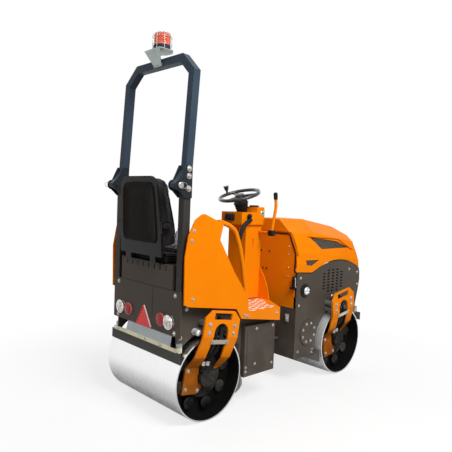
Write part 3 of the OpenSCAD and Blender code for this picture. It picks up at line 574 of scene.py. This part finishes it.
def tube(bm, points, radius, sides, closed=False):
    """Round bar along points, carried from ring to ring without twist."""
    points = [Vector(p) for p in points]
    last = len(points) - 1
    rings = []
    side = None
    for i, point in enumerate(points):
        before = points[i - 1] if i or closed else point
        after = points[i + 1] if i < last else points[0] if closed else point
        along = (after - before).normalized()
        if side is None:
            side = along.orthogonal().normalized()
        side = (side - along * side.dot(along)).normalized()
        up = along.cross(side)
        rings.append([point + radius * (c * side + s * up) for c, s in circle(sides)])
    if closed:
        skin(bm, rings, True)
    else:
        loft(bm, rings)


def bar(bm, start, end, radius, shares, sides):
    """Straight tube through shares of the way from a start to an end."""
    tube(bm, [Vector(start).lerp(Vector(end), t) for t in shares], radius, sides)


def block(bm, low, high, chamfer, spot=Matrix()):
    """Box between two corners with chamfered edges."""
    low, high = MM * Vector(low), MM * Vector(high)
    form = spot @ Matrix.Translation((low + high) / 2) @ Matrix.Diagonal((*(high - low), 1))
    verts = bmesh.ops.create_cube(bm, size=1, matrix=form)["verts"]
    edges = list(dict.fromkeys(edge for vert in verts for edge in vert.link_edges))
    bmesh.ops.bevel(bm, geom=edges, offset=MM * chamfer, segments=2, affect="EDGES", profile=0.5)


def smooth_loop(points, steps):
    """Closed curve through points, by the usual cubic."""
    count = len(points)
    out = []
    for i in range(count):
        a, b, c, d = (points[(i + k) % count] for k in (-1, 0, 1, 2))
        for t in (step / steps for step in range(steps)):
            out.append(0.5 * (2 * b + (c - a) * t + (2 * a - 5 * b + 4 * c - d) * t * t
                              + (3 * b - a - 3 * c + d) * t ** 3))
    return out


def mirrored(half):
    """Closed outline from its left half, of points that end in Y and Z, from below."""
    return [(*x, -y, z) for *x, y, z in half] + half[::-1]


def yoke_point(end, side, u, v, y):
    """Place on a drum's yoke from its own upright coordinates; end is 1 at the front."""
    c, s = math.cos(YOKE_LEAN), math.sin(YOKE_LEAN)
    return Vector((end * AXLE_X + u * c - end * v * s, side * y, DRUM_R + end * u * s + v * c))


# Fasteners

def add_bolts():
    """Bolts of both frames, from short tables of (x, z) on the side faces."""
    rear, front, hoop, rear_dark, front_dark = (bmesh.new() for _ in range(5))
    faces = [  # mesh, face, half width of the head, places
        (rear, BOX_Y, 6.5, [(-0.301, 0.54), (-0.308, 0.286), (-0.4, 0.274), (-0.4, 0.244), (-0.128, 0.54),
                            (-0.128, 0.26)]),
        (rear, SHIELD_Y, 7, [(-0.933, 0.825), (-0.938, 1.252), (-0.954, 1.19), (-0.466, 0.668), (-0.436, 0.652),
                             (-0.13, 0.64)]),
        (rear, FRAME_Y, 7.5, [(-0.918, 0.748), (-0.96, 0.57)]),
        (front, FRAME_Y, 6.5, [(0.23, 0.853), (0.222, 0.632), (0.912, 0.88), (1.04, 0.844), (1.05, 0.735),
                               (0.42, 0.252), (0.414, 0.226), (0.232, 0.26)]),
        (rear, EAR_Y, 11, [(-0.974, 1.63), (-0.974, 1.585), (-0.974, 1.508)]),
    ]
    for side in SIDES:
        out = side * Y_AXIS
        for mesh, face, size, places in faces:
            for x, z in places:
                hex_bolt(mesh, (x, side * face, z), out, size)
        for c, s in circle(8, 0.5):
            hex_bolt(front, (0.353 + 0.0775 * c, side * 0.353, 0.4 + 0.0775 * s), out, 7)
        for end, mesh, dark in ((-1, rear, rear_dark), (1, front, front_dark)):
            for u, v in itertools.product((-0.108, 0.108), (0.36, 0.308)):
                hex_bolt(mesh, yoke_point(end, side, u, v, YOKE_Y), out, 8.8)
            for u, v in ((-0.148, -0.08), (-0.046, -0.09), (-0.148, 0.04)):
                hex_bolt(mesh, yoke_point(end, side, u, v, FOOT_Y), out, 8.5)
            # Bolts of the motor's hub inside the drum, black as a painted shade for the drum's dark inside.
            for c, s in circle(6, 0.5):
                hex_bolt(dark, yoke_point(end, side, 0.042 * c, 0.042 * s, 0.382), out, 6)
        for z in (1.097, 1.031, 0.926, 0.856):
            button_bolt(front, (WALL_X, side * 0.25, z), -X_AXIS, 6)
        for y, z in ((0.045, 1.04), (0.02, 0.894)):
            button_bolt(front_dark, (WALL_X, side * y, z), -X_AXIS, 6)
        for z in (0.84, 0.602):
            hex_bolt(rear, (REAR_X, side * 0.33, z), -X_AXIS, 8)
        for z in (0.72, 1.235):
            hex_bolt(rear, (COLUMN_X, side * 0.06, z), -X_AXIS, 7)
        hex_bolt(hoop, (-0.9541, side * 0.03, 2.317), -X_AXIS, 5.5)
    for y in (-0.022, -0.193, 0.316):
        hex_bolt(rear, (-1.01, y, 0.5005), -X_AXIS, 8)
        hex_bolt(front, (1.04, y, 0.5005), X_AXIS, 8)
    add_piece("rear_frame_bolts", "bolt", rear)
    add_piece("front_frame_bolts", "bolt", front, "front_frame")
    add_piece("bracket_bolts", "grey_zinc", hoop, "roll_hoop")
    for name, body, bm in (("rear_motor", "rear_frame", rear_dark), ("front_dark", "front_frame", front_dark)):
        add_piece(name + "_bolts", "black_paint", bm, body)


def add_drum_nuts():
    """Ribbed plates and nuts on the rubber buffers of both drums, black as a painted shade for the drums' dark inside.
    """
    for body, end in (("rear_drum", -1), ("front_drum", 1)):
        bm = bmesh.new()
        for side, (c, s) in itertools.product(SIDES, circle(8, 12 / 45)):
            spot = at((end * AXLE_X + BUFFER_CIRCLE * c, side * BUFFER_OUT, DRUM_R + BUFFER_CIRCLE * s), side * Y_AXIS)
            lathe(bm, spot, [(40, -4), (41.5, -3), (41.5, 0), (37, 2.2), (13, 3), (0, 3)], 28)
            for rib in range(10):
                block(bm, (12, -2.8, 1.5), (34, 2.8, 6.2), 1.2, spun(spot, rib / 10))
            prism(bm, spot, 10, 2.5, 11, 6, 1.5)
        add_piece(body + "_plates", "black_paint", bm, body)


def add_fold_pins():
    """Heads and spring clips of the roll bar's fold pins."""
    bm = bmesh.new()
    for side in SIDES:
        spot = at((-1.043, side * (EAR_Y + 0.006), 1.526), side * Y_AXIS)
        lathe(bm, spot, [(0, -1), (19, -1), (20, 2), (20, 7), (16, 10), (0, 10)])
        tube(bm, [spot @ Vector((0.03 * c + 0.018, 0.018 * s, 0.006)) for c, s in circle(18)], 0.0016, 6, True)
    add_piece("fold_pin_heads", "bolt", bm)


def add_welds():
    """Weld beads where the posts stand on the deck and the column on the floor."""
    bm = bmesh.new()
    rows = [((COLUMN_X, -0.095), (COLUMN_X, 0.095), FLOOR_Z)]
    for side in SIDES:
        corners = [(POST_FRONT, side * POST_IN), (POST_FRONT, side * POST_OUT), (REAR_X, side * POST_OUT)]
        rows += [(a, b, DECK_Z) for a, b in zip(corners, corners[1:])]
        rows.append(((COLUMN_X, side * 0.095), (0.01, side * 0.095), FLOOR_Z))
    for start, end, z in rows:
        a, b = Vector((*start, z + 0.001)), Vector((*end, z + 0.001))
        steps = max(3, int((b - a).length / 0.005))
        for i in range(steps):
            spot = Matrix.Translation(a.lerp(b, (i + 0.5) / steps))
            lathe(bm, spot, [(5.2, -1), (4.6, 2), (2.8, 4.2), (0, 4.8)], 8)
    add_piece("weld_beads", "grey", bm, smooth=60)


# Lamps and beacon

def add_lamps():
    """Rims and domed lenses of the rear lamps and the head lamps."""
    lamps = [  # name, body, slot and look of lens and rim, place on the left, axis, radius
        ("work_lamp", "rear_frame", "lamp_glass", "clear", "rod_chrome", "chrome",
         (-1.018, 0.283, 0.666), -X_AXIS, 44),
        ("tail_lamp", "rear_frame", "red_lens", "red", "red_lens", "rose",
         (-1.012, 0.19, 0.664), -X_AXIS, 40),
        ("head_lamp", "front_frame", "lamp_glass", "clear", "black_plastic", "plastic",
         (1.06, 0.2, 0.74), X_AXIS, 60),
    ]
    for name, body, slot, look, rim_slot, rim_look, (x, y, z), axis, r in lamps:
        rim, glass = bmesh.new(), bmesh.new()
        for side in SIDES:
            spot = at((x, side * y, z), axis)
            lathe(rim, spot, [(r + 0.4, -11.5), (r + 3, -11), (r + 3.6, -3), (r + 2.2, 1.6),
                              (r - 1, 2), (r - 2.6, 0.8), (r - 3, -0.4), (r + 0.4, -0.6)], 48)
            lathe(glass, spot, [(r - 2.8, 0.2), (r - 5, 2.2), (r * 0.7, 5.6), (r * 0.35, 7.4), (0, 7.8)], 48)
        add_piece(name + "_rims", rim_look, rim, body)
        add_piece(name + "_lenses", look, glass, body)


def add_reflector_edge():
    """Raised rim round the triangle, pale where the light catches its right side."""
    top, right, left = ((-1.0065, y, z) for y, z in ((0, 0.728), (-0.088, 0.588), (0.088, 0.588)))
    rims = [("reflector_edge", "lamp_glass", "pale", 0.0042, [(top, right)]),
            ("reflector_rim", "red_lens", "triangle", 0.0034, [(right, left), (left, top)])]
    for name, slot, look, radius, ways in rims:
        bm = bmesh.new()
        for a, b in ways:
            bar(bm, a, b, radius, (0.03, 0.2, 0.5, 0.8, 0.97), 8)
        add_piece(name, look, bm)


def add_beacon():
    """Ribbed lens, the rings of its base and the wire cage over the beacon."""
    glass, collar, cage = (bmesh.new() for _ in range(3))
    spot = at(BEACON, Z_AXIS)
    profile = [(52.5, 35.2), (56.5, 36.2)]
    for low in (40 + 10.8 * k for k in range(6)):
        profile += [(57.5, low), (58.2, low + 4.2), (57.5, low + 8.4), (56.2, low + 9.6)]
    lathe(glass, spot, profile + [(56, 104.5), (51.5, 112.5), (42, 116.5), (0, 118)], 64)
    add_piece("beacon_glass", "beacon", glass, "roll_hoop", smooth=60)
    lathe(collar, spot, [(52.2, 0.6), (60, 0.6), (61.2, 3), (61.2, 18), (59.5, 21),
                         (59.5, 30), (58.5, 34), (56, 35.6), (52.2, 35.6)], 48)
    add_piece("beacon_collar", "navy", collar, "roll_hoop")
    wire = 0.0017
    path = [(0.066, 0.004), (0.066, 0.05), (0.065, 0.092), (0.056, 0.114), (0.036, 0.123), (0.01, 0.1255)]
    for c, s in circle(8, 0.5):
        tube(cage, [BEACON + Vector((r * c, r * s, h)) for r, h in path], wire, 8)
    for r, h in ((0.066, 0.04), (0.066, 0.09), (0.012, 0.1255)):
        tube(cage, [BEACON + Vector((r * c, r * s, h)) for c, s in circle(40)], wire, 8, True)
    lathe(cage, spot, [(61.2, 0.2), (69, 0.2), (69, 5), (64, 6.5), (61.2, 6.5)], 40)
    add_piece("beacon_cage", "grey_zinc", cage, "roll_hoop")


# Controls

def add_controls():
    """Boot, switches, gauge, button and lever's grip on the column."""
    boot, caps, button, ring, grip = (bmesh.new() for _ in range(5))
    profile = [(30, -138)]
    for k in range(5):
        low, wide = -132 + 15.8 * k, 36 + 4.2 * k
        profile += [(wide, low), (wide + 6, low + 4), (wide + 6, low + 8), (wide - 1, low + 13)]
    lathe(boot, WHEEL_SPOT, profile + [(53.5, -52), (50, -50.5), (20, -50.5)], 40)
    add_piece("steering_boot", "rubber", boot)

    for y in (-20, 15, 50):
        block(caps, (-235.2, y - 14.5, 1292), (-230.5, y + 14.5, 1343), 1.2)
        tilt = Matrix.Translation((-0.236, MM * y, 1.3175)) @ Matrix.Rotation(math.radians(9), 4, "Y")
        block(caps, (-5, -10, -20), (3, 10, 20), 2, tilt)
    lathe(caps, at((-0.006, -0.03, 1.408), Z_AXIS),
          [(36, -8), (38.5, -7), (38.5, 2), (36, 4.5), (32, 4), (31.5, 1.5), (0, 1.5)], 40)
    add_piece("switch_caps", "plastic", caps)

    spot = at((0.002, -0.113, 1.352), -Y_AXIS)
    lathe(button, spot, [(0, 0), (14, 0), (14, 6), (12, 9), (6, 10.5), (0, 10.8)], 28)
    add_piece("start_button", "green", button)
    lathe(ring, spot, [(14.2, -1), (19, -1), (19, 4), (17, 5.5), (14.2, 5.5)], 28)
    add_piece("button_ring", "chrome", ring)

    lean = Vector((-0.12, 0, 1)).normalized()
    lathe(grip, at(Vector((0.024, -0.225, 1.5)) - lean * 0.036, lean),
          [(12.5, 0), (15.2, 2), (16, 20), (16.6, 40), (15, 50), (10, 54.5), (0, 56)], 28)
    block(grip, (-27.5, -245.5, 1183.5), (15.5, -204.5, 1226.5), 4)
    add_piece("lever_grip", "plastic", grip)


def add_wheel_trim():
    """Hub cap, spokes' ribs and the grip's rings on the steering wheel."""
    hub = bmesh.new()
    lathe(hub, WHEEL_SPOT, [(34.5, -10), (36.5, -6), (36.5, 4), (33, 8.5), (20, 10.5), (0, 11)], 40)
    for k in (1, 3, 5):
        turn = spun(WHEEL_SPOT, k / 6)
        block(hub, (30, -17, -3.5), (142, 17, -1), 1, turn)
        block(hub, (45, -10, -2.5), (128, 10, 0.6), 1, turn)
    for k in range(24):
        turn = spun(WHEEL_SPOT, (k + 0.5) / 24) @ Matrix.Translation((0.155, 0, 0))
        tube(hub, [turn @ Vector((0.0125 * c, 0, 0.0125 * s)) for c, s in circle(14)], 0.0016, 6, True)
    add_piece("wheel_trim", "wheel", hub, "steering_wheel")


def add_tread():
    """Raised lozenges of the floor, laid crosswise and clear of edges, column, bend and corners."""
    bm = bmesh.new()
    pitch = 0.046
    long, wide, high = 0.0268, 0.0122, 0.0024
    flat = 0.4 * long
    outline = [(-long, 0), (-flat, -wide), (flat, -wide), (long, 0), (flat, wide), (-flat, wide)]
    for i, j in itertools.product(range(-6, 14), range(-10, 11)):
        x = -0.27 + pitch * (i - 3)
        y = pitch * (j + (0.5 if i % 2 else 0))
        front = 0.03 - max(0, abs(y) - 0.1) * 0.5
        if (not -0.425 < x < front - 0.022 or abs(y) > 0.396 or (x > -0.178 and abs(y) < 0.118)
                or (abs(x - 0.01) < 0.03 and abs(y) < 0.23)
                or (abs(x + 0.428) < 0.036 and abs(abs(y) - 0.396) < 0.036)):
            continue
        turn = spun(Matrix.Translation((x, y, FLOOR_Z)), 1 / 8 if (i + j) % 2 else -1 / 8)
        rings = [[turn @ Vector((a * along, b * across, h)) for a, b in outline]
                 for along, across, h in ((1, 1, -0.0002), (0.78, 0.62, high))]
        bm.faces.new(skin(bm, rings)[1])
    add_piece("floor_lozenges", "tread", bm)


# Frame details

def add_hose_ends():
    """Plated ferrules and nuts at the motor hoses' ends, and the bolts of the bar over them."""
    tilt = math.atan(40 / 140)
    for body, end in (("rear_frame", -1), ("front_frame", 1)):
        bm = bmesh.new()
        for side in SIDES:
            up = yoke_point(end, side, 0, 1, 0) - yoke_point(end, side, 0, 0, 0)
            for h in (-HOSE_SIDE, HOSE_SIDE):
                wall = at(yoke_point(end, side, 1.2 * h, 0.392, FRAME_Y), side * Y_AXIS)
                prism(bm, wall, 21.5, 0, 9, 6, 1.5)
                lathe(bm, wall, [(13.2, 9), (17, 9), (17, 21), (15.8, 24), (13.2, 24)], 20)
                port = at(yoke_point(end, side, h - 0.024, 0.078, FOOT_Y + 0.015), up)
                prism(bm, port, 18, 0, 8, 6, 1.2)
                lathe(bm, port, [(13.2, 8), (16.5, 8), (16.5, 24), (15.4, 27), (13.2, 27)], 20)
            out = (side * Y_AXIS * math.cos(tilt) - up * math.sin(tilt)).normalized()
            for u in (-0.062, 0.062):
                hex_bolt(bm, yoke_point(end, side, u, 0.25, YOKE_Y - 0.003), out, 7)
        add_piece(body + "_hose_ends", "bolt", bm, body)


def add_caps():
    """Black seat and grip ribs of the filler caps."""
    seat, grip = bmesh.new(), bmesh.new()
    for side in SIDES:
        spot = at((CAP_X, side * CAP_Y, CAP_Z), side * Y_AXIS)
        lathe(seat, spot, [(32.5, 0.2), (33.5, 2.5), (46, 3), (50.5, 1.6), (51.5, -4),
                           (52.5, -5.8), (54, -5.8), (54.5, -3), (53, 2.2), (47, 4.5), (33, 4.2), (32.5, 0.2)], 48)
        for k in range(16):
            block(seat, (31.2, -2.6, 2), (34.5, 2.6, 14.5), 0.9, spun(spot, k / 16))
        lathe(grip, spot, [(31.2, 13.5), (30, 16.5), (23.5, 20.5), (12, 22.8), (0, 23.4)], 36)
        for k in range(5):
            lathe(grip, spun(spot, (k + 0.3) / 5) @ Matrix.Translation((0.019, 0, 0.017)),
                  [(9.5, 0), (9, 5.5), (6, 8.8), (0, 10)], 18)
    add_piece("cap_rings", "plastic", seat, "front_frame")
    add_piece("cap_grips", "chrome", grip, "front_frame", smooth=60)


def add_side_details():
    """Studs over the rear arches, panel seams, the rear scraper's ends and the lower wall's catch."""
    studs, seams, blades, catch = (bmesh.new() for _ in range(4))
    outline = [(-0.466, 0.222), (-0.448, 0.23), (-0.438, 0.198), (-0.437, 0.166), (-0.462, 0.138), (-0.5, 0.12),
               (-0.483, 0.166)]
    for side in SIDES:
        out = side * Y_AXIS
        spot = at((-0.85, side * FRAME_Y, 0.596), out)
        prism(studs, spot, 25, -0.4, 9, 6, 2)
        lathe(studs, spot, [(21, 9), (22.5, 11), (22.5, 42), (20.5, 50), (15, 56), (8, 58.5), (0, 59)], 36)
        tube(seams, [(-0.392, side * (BOX_Y + 0.0001), 0.21 + 0.02 * k) for k in range(18)], 0.0011, 6)
        loft(blades, [[(x, side * y, z) for x, z in outline] for y in (0.386, 0.391)])
        for z in (0.207, 0.168):
            hex_bolt(blades, (-0.455, side * 0.391, z), out, 6)
    low, high = 0.868, 1.024
    for a, b in (((-0.3, low), (0.3, low)), ((-0.3005, low), (-0.3005, high)), ((0.3005, low), (0.3005, high)),
                 ((-0.088, 0.655), (-0.088, 0.862))):
        bar(seams, (REAR_X - 0.0001, *a), (REAR_X - 0.0001, *b), 0.0013, [t / 12 for t in range(13)], 6)
    block(catch, (179, -278, 494), (185.2, -242, 556), 1.5)
    block(catch, (173.5, -268, 503), (179.2, -252, 545), 1.5)
    lathe(catch, at((0.1736, -0.26, 0.524), -X_AXIS), [(6, -1), (6, 3), (4.5, 4.5), (0, 4.8)], 20)
    add_piece("arch_studs", "bright", studs)
    add_piece("panel_seams", "rubber", seams)
    add_piece("scraper_ends", "scraper", blades)
    add_piece("wall_catch", "plate", catch, "front_frame")


def add_latches():
    """Ribbed rubber strap, pull, keeper and hook at each lower corner of the hood."""
    straps, keepers, hooks = (bmesh.new() for _ in range(3))
    boxes = [  # mesh, X, Y on the left, Z, chamfer
        (straps, (166, 185.6), (310, 334), (778, 868), 3),
        (straps, (157, 180), (294, 340), (764, 782), 4),
        (keepers, (170, 185.6), (334.5, 343), (785, 862), 1.5),
        (hooks, (178, 190), (327, 342), (914, 930), 2),
    ] + [(straps, (160.5, 167.5), (308, 336), (z, z + 9), 1.5) for z in (792, 810, 828, 846)]
    for side in SIDES:
        for bm, xs, ys, zs, chamfer in boxes:
            block(bm, *zip(xs, sorted(side * y for y in ys), zs), chamfer)
        button_bolt(keepers, (0.1702, side * 0.3385, 0.852), -X_AXIS, 6.5)
    add_piece("latch_straps", "rubber", straps, "front_frame")
    add_piece("latch_keepers", "bright", keepers, "front_frame")
    add_piece("hood_hooks", "bright", hooks, "hood")


def add_hood_lip():
    """Painted lip that closes the hood's edge round the wall's trim."""
    bm = bmesh.new()

    def row(x, grown):
        half = [(0.314 + grown, 0.9), (0.314 + grown, 1.045 + 0.4 * grown), (0.248 + 0.6 * grown, 1.19 + grown)]
        return [(x, y, z) for y, z in mirrored(half)]

    rows = [row(x, grown) for x, grown in ((0.1865, 0.0095), (0.1865, 0.0245), (0.1895, 0.0245), (0.1895, 0.0095))]
    loft(bm, list(zip(*rows)))
    add_piece("hood_lip", "orange", bm, "hood")


def add_belt_reel():
    """Reel of the operator's belt on the right post."""
    bm = bmesh.new()
    block(bm, (-993, -332.5, 1180), (-943, -328, 1255), 1)
    block(bm, (-989, -328.5, 1186), (-947, -295, 1244), 6)
    lathe(bm, at((-0.968, -0.2955, 1.213), Y_AXIS), [(24, -1), (24, 4), (21, 7), (8, 8), (0, 8)], 32)
    block(bm, (-984, -324, 1243), (-952, -306, 1262), 3)
    add_piece("belt_reel", "bright", bm)


# Seat

def add_seat_knobs():
    """Ribbed knobs on the hinges of the seat's back."""
    bm = bmesh.new()
    for side in SIDES:
        spot = SEAT_SPOT @ at((0.022, side * 0.272, 0.236), side * Y_AXIS)
        lathe(bm, spot, [(17.2, -20), (19.5, -18), (19.5, 1), (16.5, 4), (6, 5), (0, 5)], 32)
        for k in range(14):
            block(bm, (18.5, -1.6, -17), (21.2, 1.6, 0), 0.6, spun(spot, k / 14))
    add_piece("seat_knobs", "plastic", bm)


def add_bellows():
    """Folded rubber skirt between the seat and its box."""
    bm = bmesh.new()
    corners = ((-0.985, -0.225), (-0.64, -0.225), (-0.62, -0.2), (-0.62, 0.2), (-0.64, 0.225), (-0.985, 0.225),
               (-1, 0.2), (-1, -0.2))
    loop = smooth_loop([Vector((x, y, 0)) for x, y in corners], 4)
    centre = Vector((-0.81, 0, 0))
    loft(bm, [[centre + (p - centre) * (1 if k % 2 else 0.965) + Z_AXIS * (SEAT_PLACE.z + 0.0006 + 0.0088 * k)
               for p in loop] for k in range(7)])
    add_piece("seat_bellows", "rubber", bm, smooth=60)


def add_shell_panel():
    """Moulded panel with a rolled border on the back of the seat's shell."""
    bm = bmesh.new()
    half = [(0.15, 0.122), (0.186, 0.132), (0.199, 0.166), (0.193, 0.3), (0.182, 0.452), (0.166, 0.492), (0.124, 0.512)]
    loop = smooth_loop([Vector((0, y, z)) for y, z in mirrored(half)], 5)
    rows = [(1, 0.0002), (0.985, -0.0042), (0.955, -0.0066), (0.925, -0.0046), (0.905, -0.003), (0.45, -0.0042)]
    centre = Vector((0, 0, 0.318))
    rings = [[SEAT_SPOT @ (centre + (p - centre) * k + X_AXIS * x) for p in loop] for k, x in rows]
    skin(bm, rings + [[SEAT_SPOT @ (centre - X_AXIS * 0.0046)]])
    add_piece("shell_panel", "panel", bm, smooth=60)


def swollen(name, node, held, shrink=0.006, cap=0.014):
    """Padded form: the node's solid made smaller, remeshed and blown up as cloth, flat where held."""
    mesh = NODES[node].data.copy()
    piece = new_object(name, mesh)
    low, high = (Vector(corner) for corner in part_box(node))
    middle, size = (low + high) / 2, high - low
    for vert in mesh.vertices:
        for axis in range(3):
            vert.co[axis] = middle[axis] + (vert.co[axis] - middle[axis]) * (1 - 2 * shrink / size[axis])
    remesh = piece.modifiers.new("remesh", "REMESH")
    remesh.mode = "VOXEL"
    remesh.voxel_size = 0.0075
    piece.data = bpy.data.meshes.new_from_object(piece.evaluated_get(bpy.context.evaluated_depsgraph_get()))
    piece.modifiers.clear()
    start = [vert.co.copy() for vert in piece.data.vertices]
    group = piece.vertex_groups.new(name="held")
    group.add([i for i, co in enumerate(start) if held(co)], 1, "REPLACE")
    cloth = piece.modifiers.new("cloth", "CLOTH")
    cloth.settings.use_pressure = True
    cloth.settings.uniform_pressure_force = 4
    cloth.settings.effector_weights.gravity = 0
    cloth.settings.vertex_group_mass = "held"
    cloth.point_cache.frame_end = 20
    for step in range(1, 21):
        scene.frame_set(step)
    done = piece.evaluated_get(bpy.context.evaluated_depsgraph_get()).data
    moved = [vert.co.copy() for vert in done.vertices]
    piece.modifiers.clear()
    scene.frame_set(1)
    for vert, a, b in zip(piece.data.vertices, start, moved):
        way = b - a
        vert.co = a + way * min(1, cap / max(way.length, 1e-9))
    return piece


def channel(way, face, above, line, value, reach=1):
    """Distance from a sewn line on a pad's face, in the pad's own coordinates; none off the face."""
    def distance(co):
        local = way @ co
        return local[line] - value if local[face] > above and abs(co.y) < reach else None
    return distance


def finish_pad(piece, node, grooves):
    """Presses the sewn channels into a pad and dresses it."""
    mesh = piece.data
    for vert in mesh.vertices:
        for depth, wide, across, inwards in grooves:
            distance = across(vert.co)
            if distance is not None:
                vert.co += inwards * depth * math.exp(-(distance / wide) ** 2)
    mesh.shade_smooth()
    mesh.materials.clear()
    mesh.materials.append(MATERIALS["vinyl"])
    finer = piece.modifiers.new("finer", "SUBSURF")
    finer.levels = finer.render_levels = 1
    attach(piece, "rear_frame")
    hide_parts(node)


def add_piping(name, piece, points):
    """Welt sewn along a line on a pad."""
    mesh = piece.data
    tree = BVHTree.FromPolygons([v.co for v in mesh.vertices], [list(p.vertices) for p in mesh.polygons])
    bm = bmesh.new()
    tube(bm, [tree.find_nearest(Vector(p))[0] for p in points], 0.0042, 8, True)
    add_piece(name, "vinyl", bm, smooth=60)


def add_seat_back():
    """Back of the seat, with its channels and welt."""
    way = SEAT_SPOT.inverted()
    inwards = SEAT_TURN.to_3x3() @ -X_AXIS
    back = swollen("seat_back_pad", "seat_back", lambda co: (way @ co).x < 0.024)
    grooves = [(0.009, 0.007, channel(way, 0, 0.075, 1, y), inwards) for y in (-0.125, 0.125)]
    grooves += [(0.006, 0.006, channel(way, 0, 0.075, 2, z, 0.125), inwards) for z in (0.2, 0.29, 0.38)]
    finish_pad(back, "seat_back", grooves)
    half = [(0.118, 0.222, 0.13), (0.122, 0.222, 0.2), (0.108, 0.21, 0.34), (0.082, 0.198, 0.48), (0.07, 0.17, 0.525),
            (0.066, 0.12, 0.54)]
    add_piping("seat_back_welt", back, smooth_loop([SEAT_SPOT @ Vector(p) for p in mirrored(half)], 4))


def add_seat_cushion():
    """Cushion of the seat, with its channels and welt."""
    low = SEAT_PLACE.z
    top = low + 0.07
    cushion = swollen("seat_cushion_pad", "seat_cushion", lambda co: co.z < low + 0.012)
    grooves = [(0.008, 0.007, channel(Matrix(), 2, top, 1, y), -Z_AXIS) for y in (-0.12, 0.12)]
    grooves += [(0.005, 0.006, channel(Matrix(), 2, top, 0, x, 0.12), -Z_AXIS) for x in (-0.635, -0.725, -0.815)]
    finish_pad(cushion, "seat_cushion", grooves)
    corners = [Vector((x, y, low + h)) for x, y, h in ((-0.545, -0.205, 0.09), (-0.545, 0.205, 0.09),
                                                       (-0.88, 0.205, 0.062), (-0.88, -0.205, 0.062))]
    add_piping("seat_cushion_welt", cushion, [a.lerp(b, t) for a, b in zip(corners, corners[1:] + corners[:1])
                                              for t in (0.06, 0.2, 0.4, 0.6, 0.8, 0.94)])


# Stage

def add_camera():
    """Places the camera as the photograph was taken, with its small roll."""
    turn = (Matrix.Rotation(CAMERA_AZIMUTH, 4, "Z") @ Matrix.Rotation(math.pi / 2 - CAMERA_ELEVATION, 4, "X")
            @ Matrix.Rotation(CAMERA_ROLL, 4, "Z"))
    data = bpy.data.cameras.new("camera")
    data.sensor_width = SENSOR_MM
    data.lens = SENSOR_MM * FOCAL_PIXELS / IMAGE_PIXELS
    scene.camera = new_object("camera", data)
    scene.camera.matrix_world = Matrix.Translation(CAMERA_PLACE) @ turn


def add_area(name, place, target, size, watts):
    """A square soft lamp that faces a target."""
    data = bpy.data.lights.new(name, "AREA")
    data.size = size
    data.energy = watts
    lamp = new_object(name, data)
    lamp.location = place
    lamp.rotation_euler = (Vector(target) - Vector(place)).to_track_quat("-Z", "Y").to_euler()


def add_stage():
    """White world and soft lamps."""
    scene.view_settings.view_transform = "Standard"
    scene.world = bpy.data.worlds.new("studio")
    t = Tree(scene.world)
    t.tree.nodes.clear()
    glow, white = (t.fill(t.add("Background"), {"Color": (1, 1, 1), "Strength": level}) for level in (0.28, 1))
    t.put(t.add("OutputWorld").inputs["Surface"], t.mix_shaders(t.background_rays(1), glow, white))
    add_area("key", (-1, -3.6, 4.4), (0, 0, 0.8), 2.2, 235)
    add_area("fill", (-5, 1, 2.4), (0, 0, 0.9), 3, 24)
    add_area("front", (4.5, 1.5, 3), (0.4, 0, 0.8), 2.5, 45)
    add_area("left", (0.5, 4.8, 3.4), (0, 0, 0.8), 3, 50)


def add_floor():
    """Large pale floor that keeps the object's soft shadow, and shows darker near the object in reflections: a painted
    shade round the object.
    """
    mesh = bpy.data.meshes.new("floor")
    half = 40
    mesh.from_pydata([(-half, -half, 0), (half, -half, 0), (half, half, 0), (-half, half, 0)], [], [(0, 1, 2, 3)])
    floor = new_object("floor", mesh)
    floor.location.z = -0.0005
    g = Graph("floor")
    far = g.fill(g.add("VectorMath", operation="LENGTH"), {0: g.place}, "Value")
    # Near the object glossy rays see a darker floor without the white: painted shade in the reflections of the drums.
    seen = g.background_rays(g.span(far, 1.15, 1.75, 0.06))
    g.set(colour=g.mix(seen, (0.55, 0.55, 0.55), (0.95, 0.95, 0.95)), roughness=0.9, gloss=0.1)
    white = g.mix_shaders(g.times(g.span(far, 1.2, 2.6, 0.72), seen), g.shader.outputs[0], g.add("Emission").outputs[0])
    g.put(g.tree.nodes["Material Output"].inputs["Surface"], white)
    mesh.materials.append(g.material)


for add in (add_camera, add_stage, add_floor, dress_nodes, add_bolts, add_drum_nuts, add_fold_pins, add_welds,
            add_lamps, add_reflector_edge, add_beacon, add_controls, add_wheel_trim, add_tread, add_hose_ends, add_caps,
            add_side_details, add_latches, add_hood_lip, add_belt_reel, add_seat_knobs, add_bellows, add_shell_panel,
            add_seat_back, add_seat_cushion):
    add()
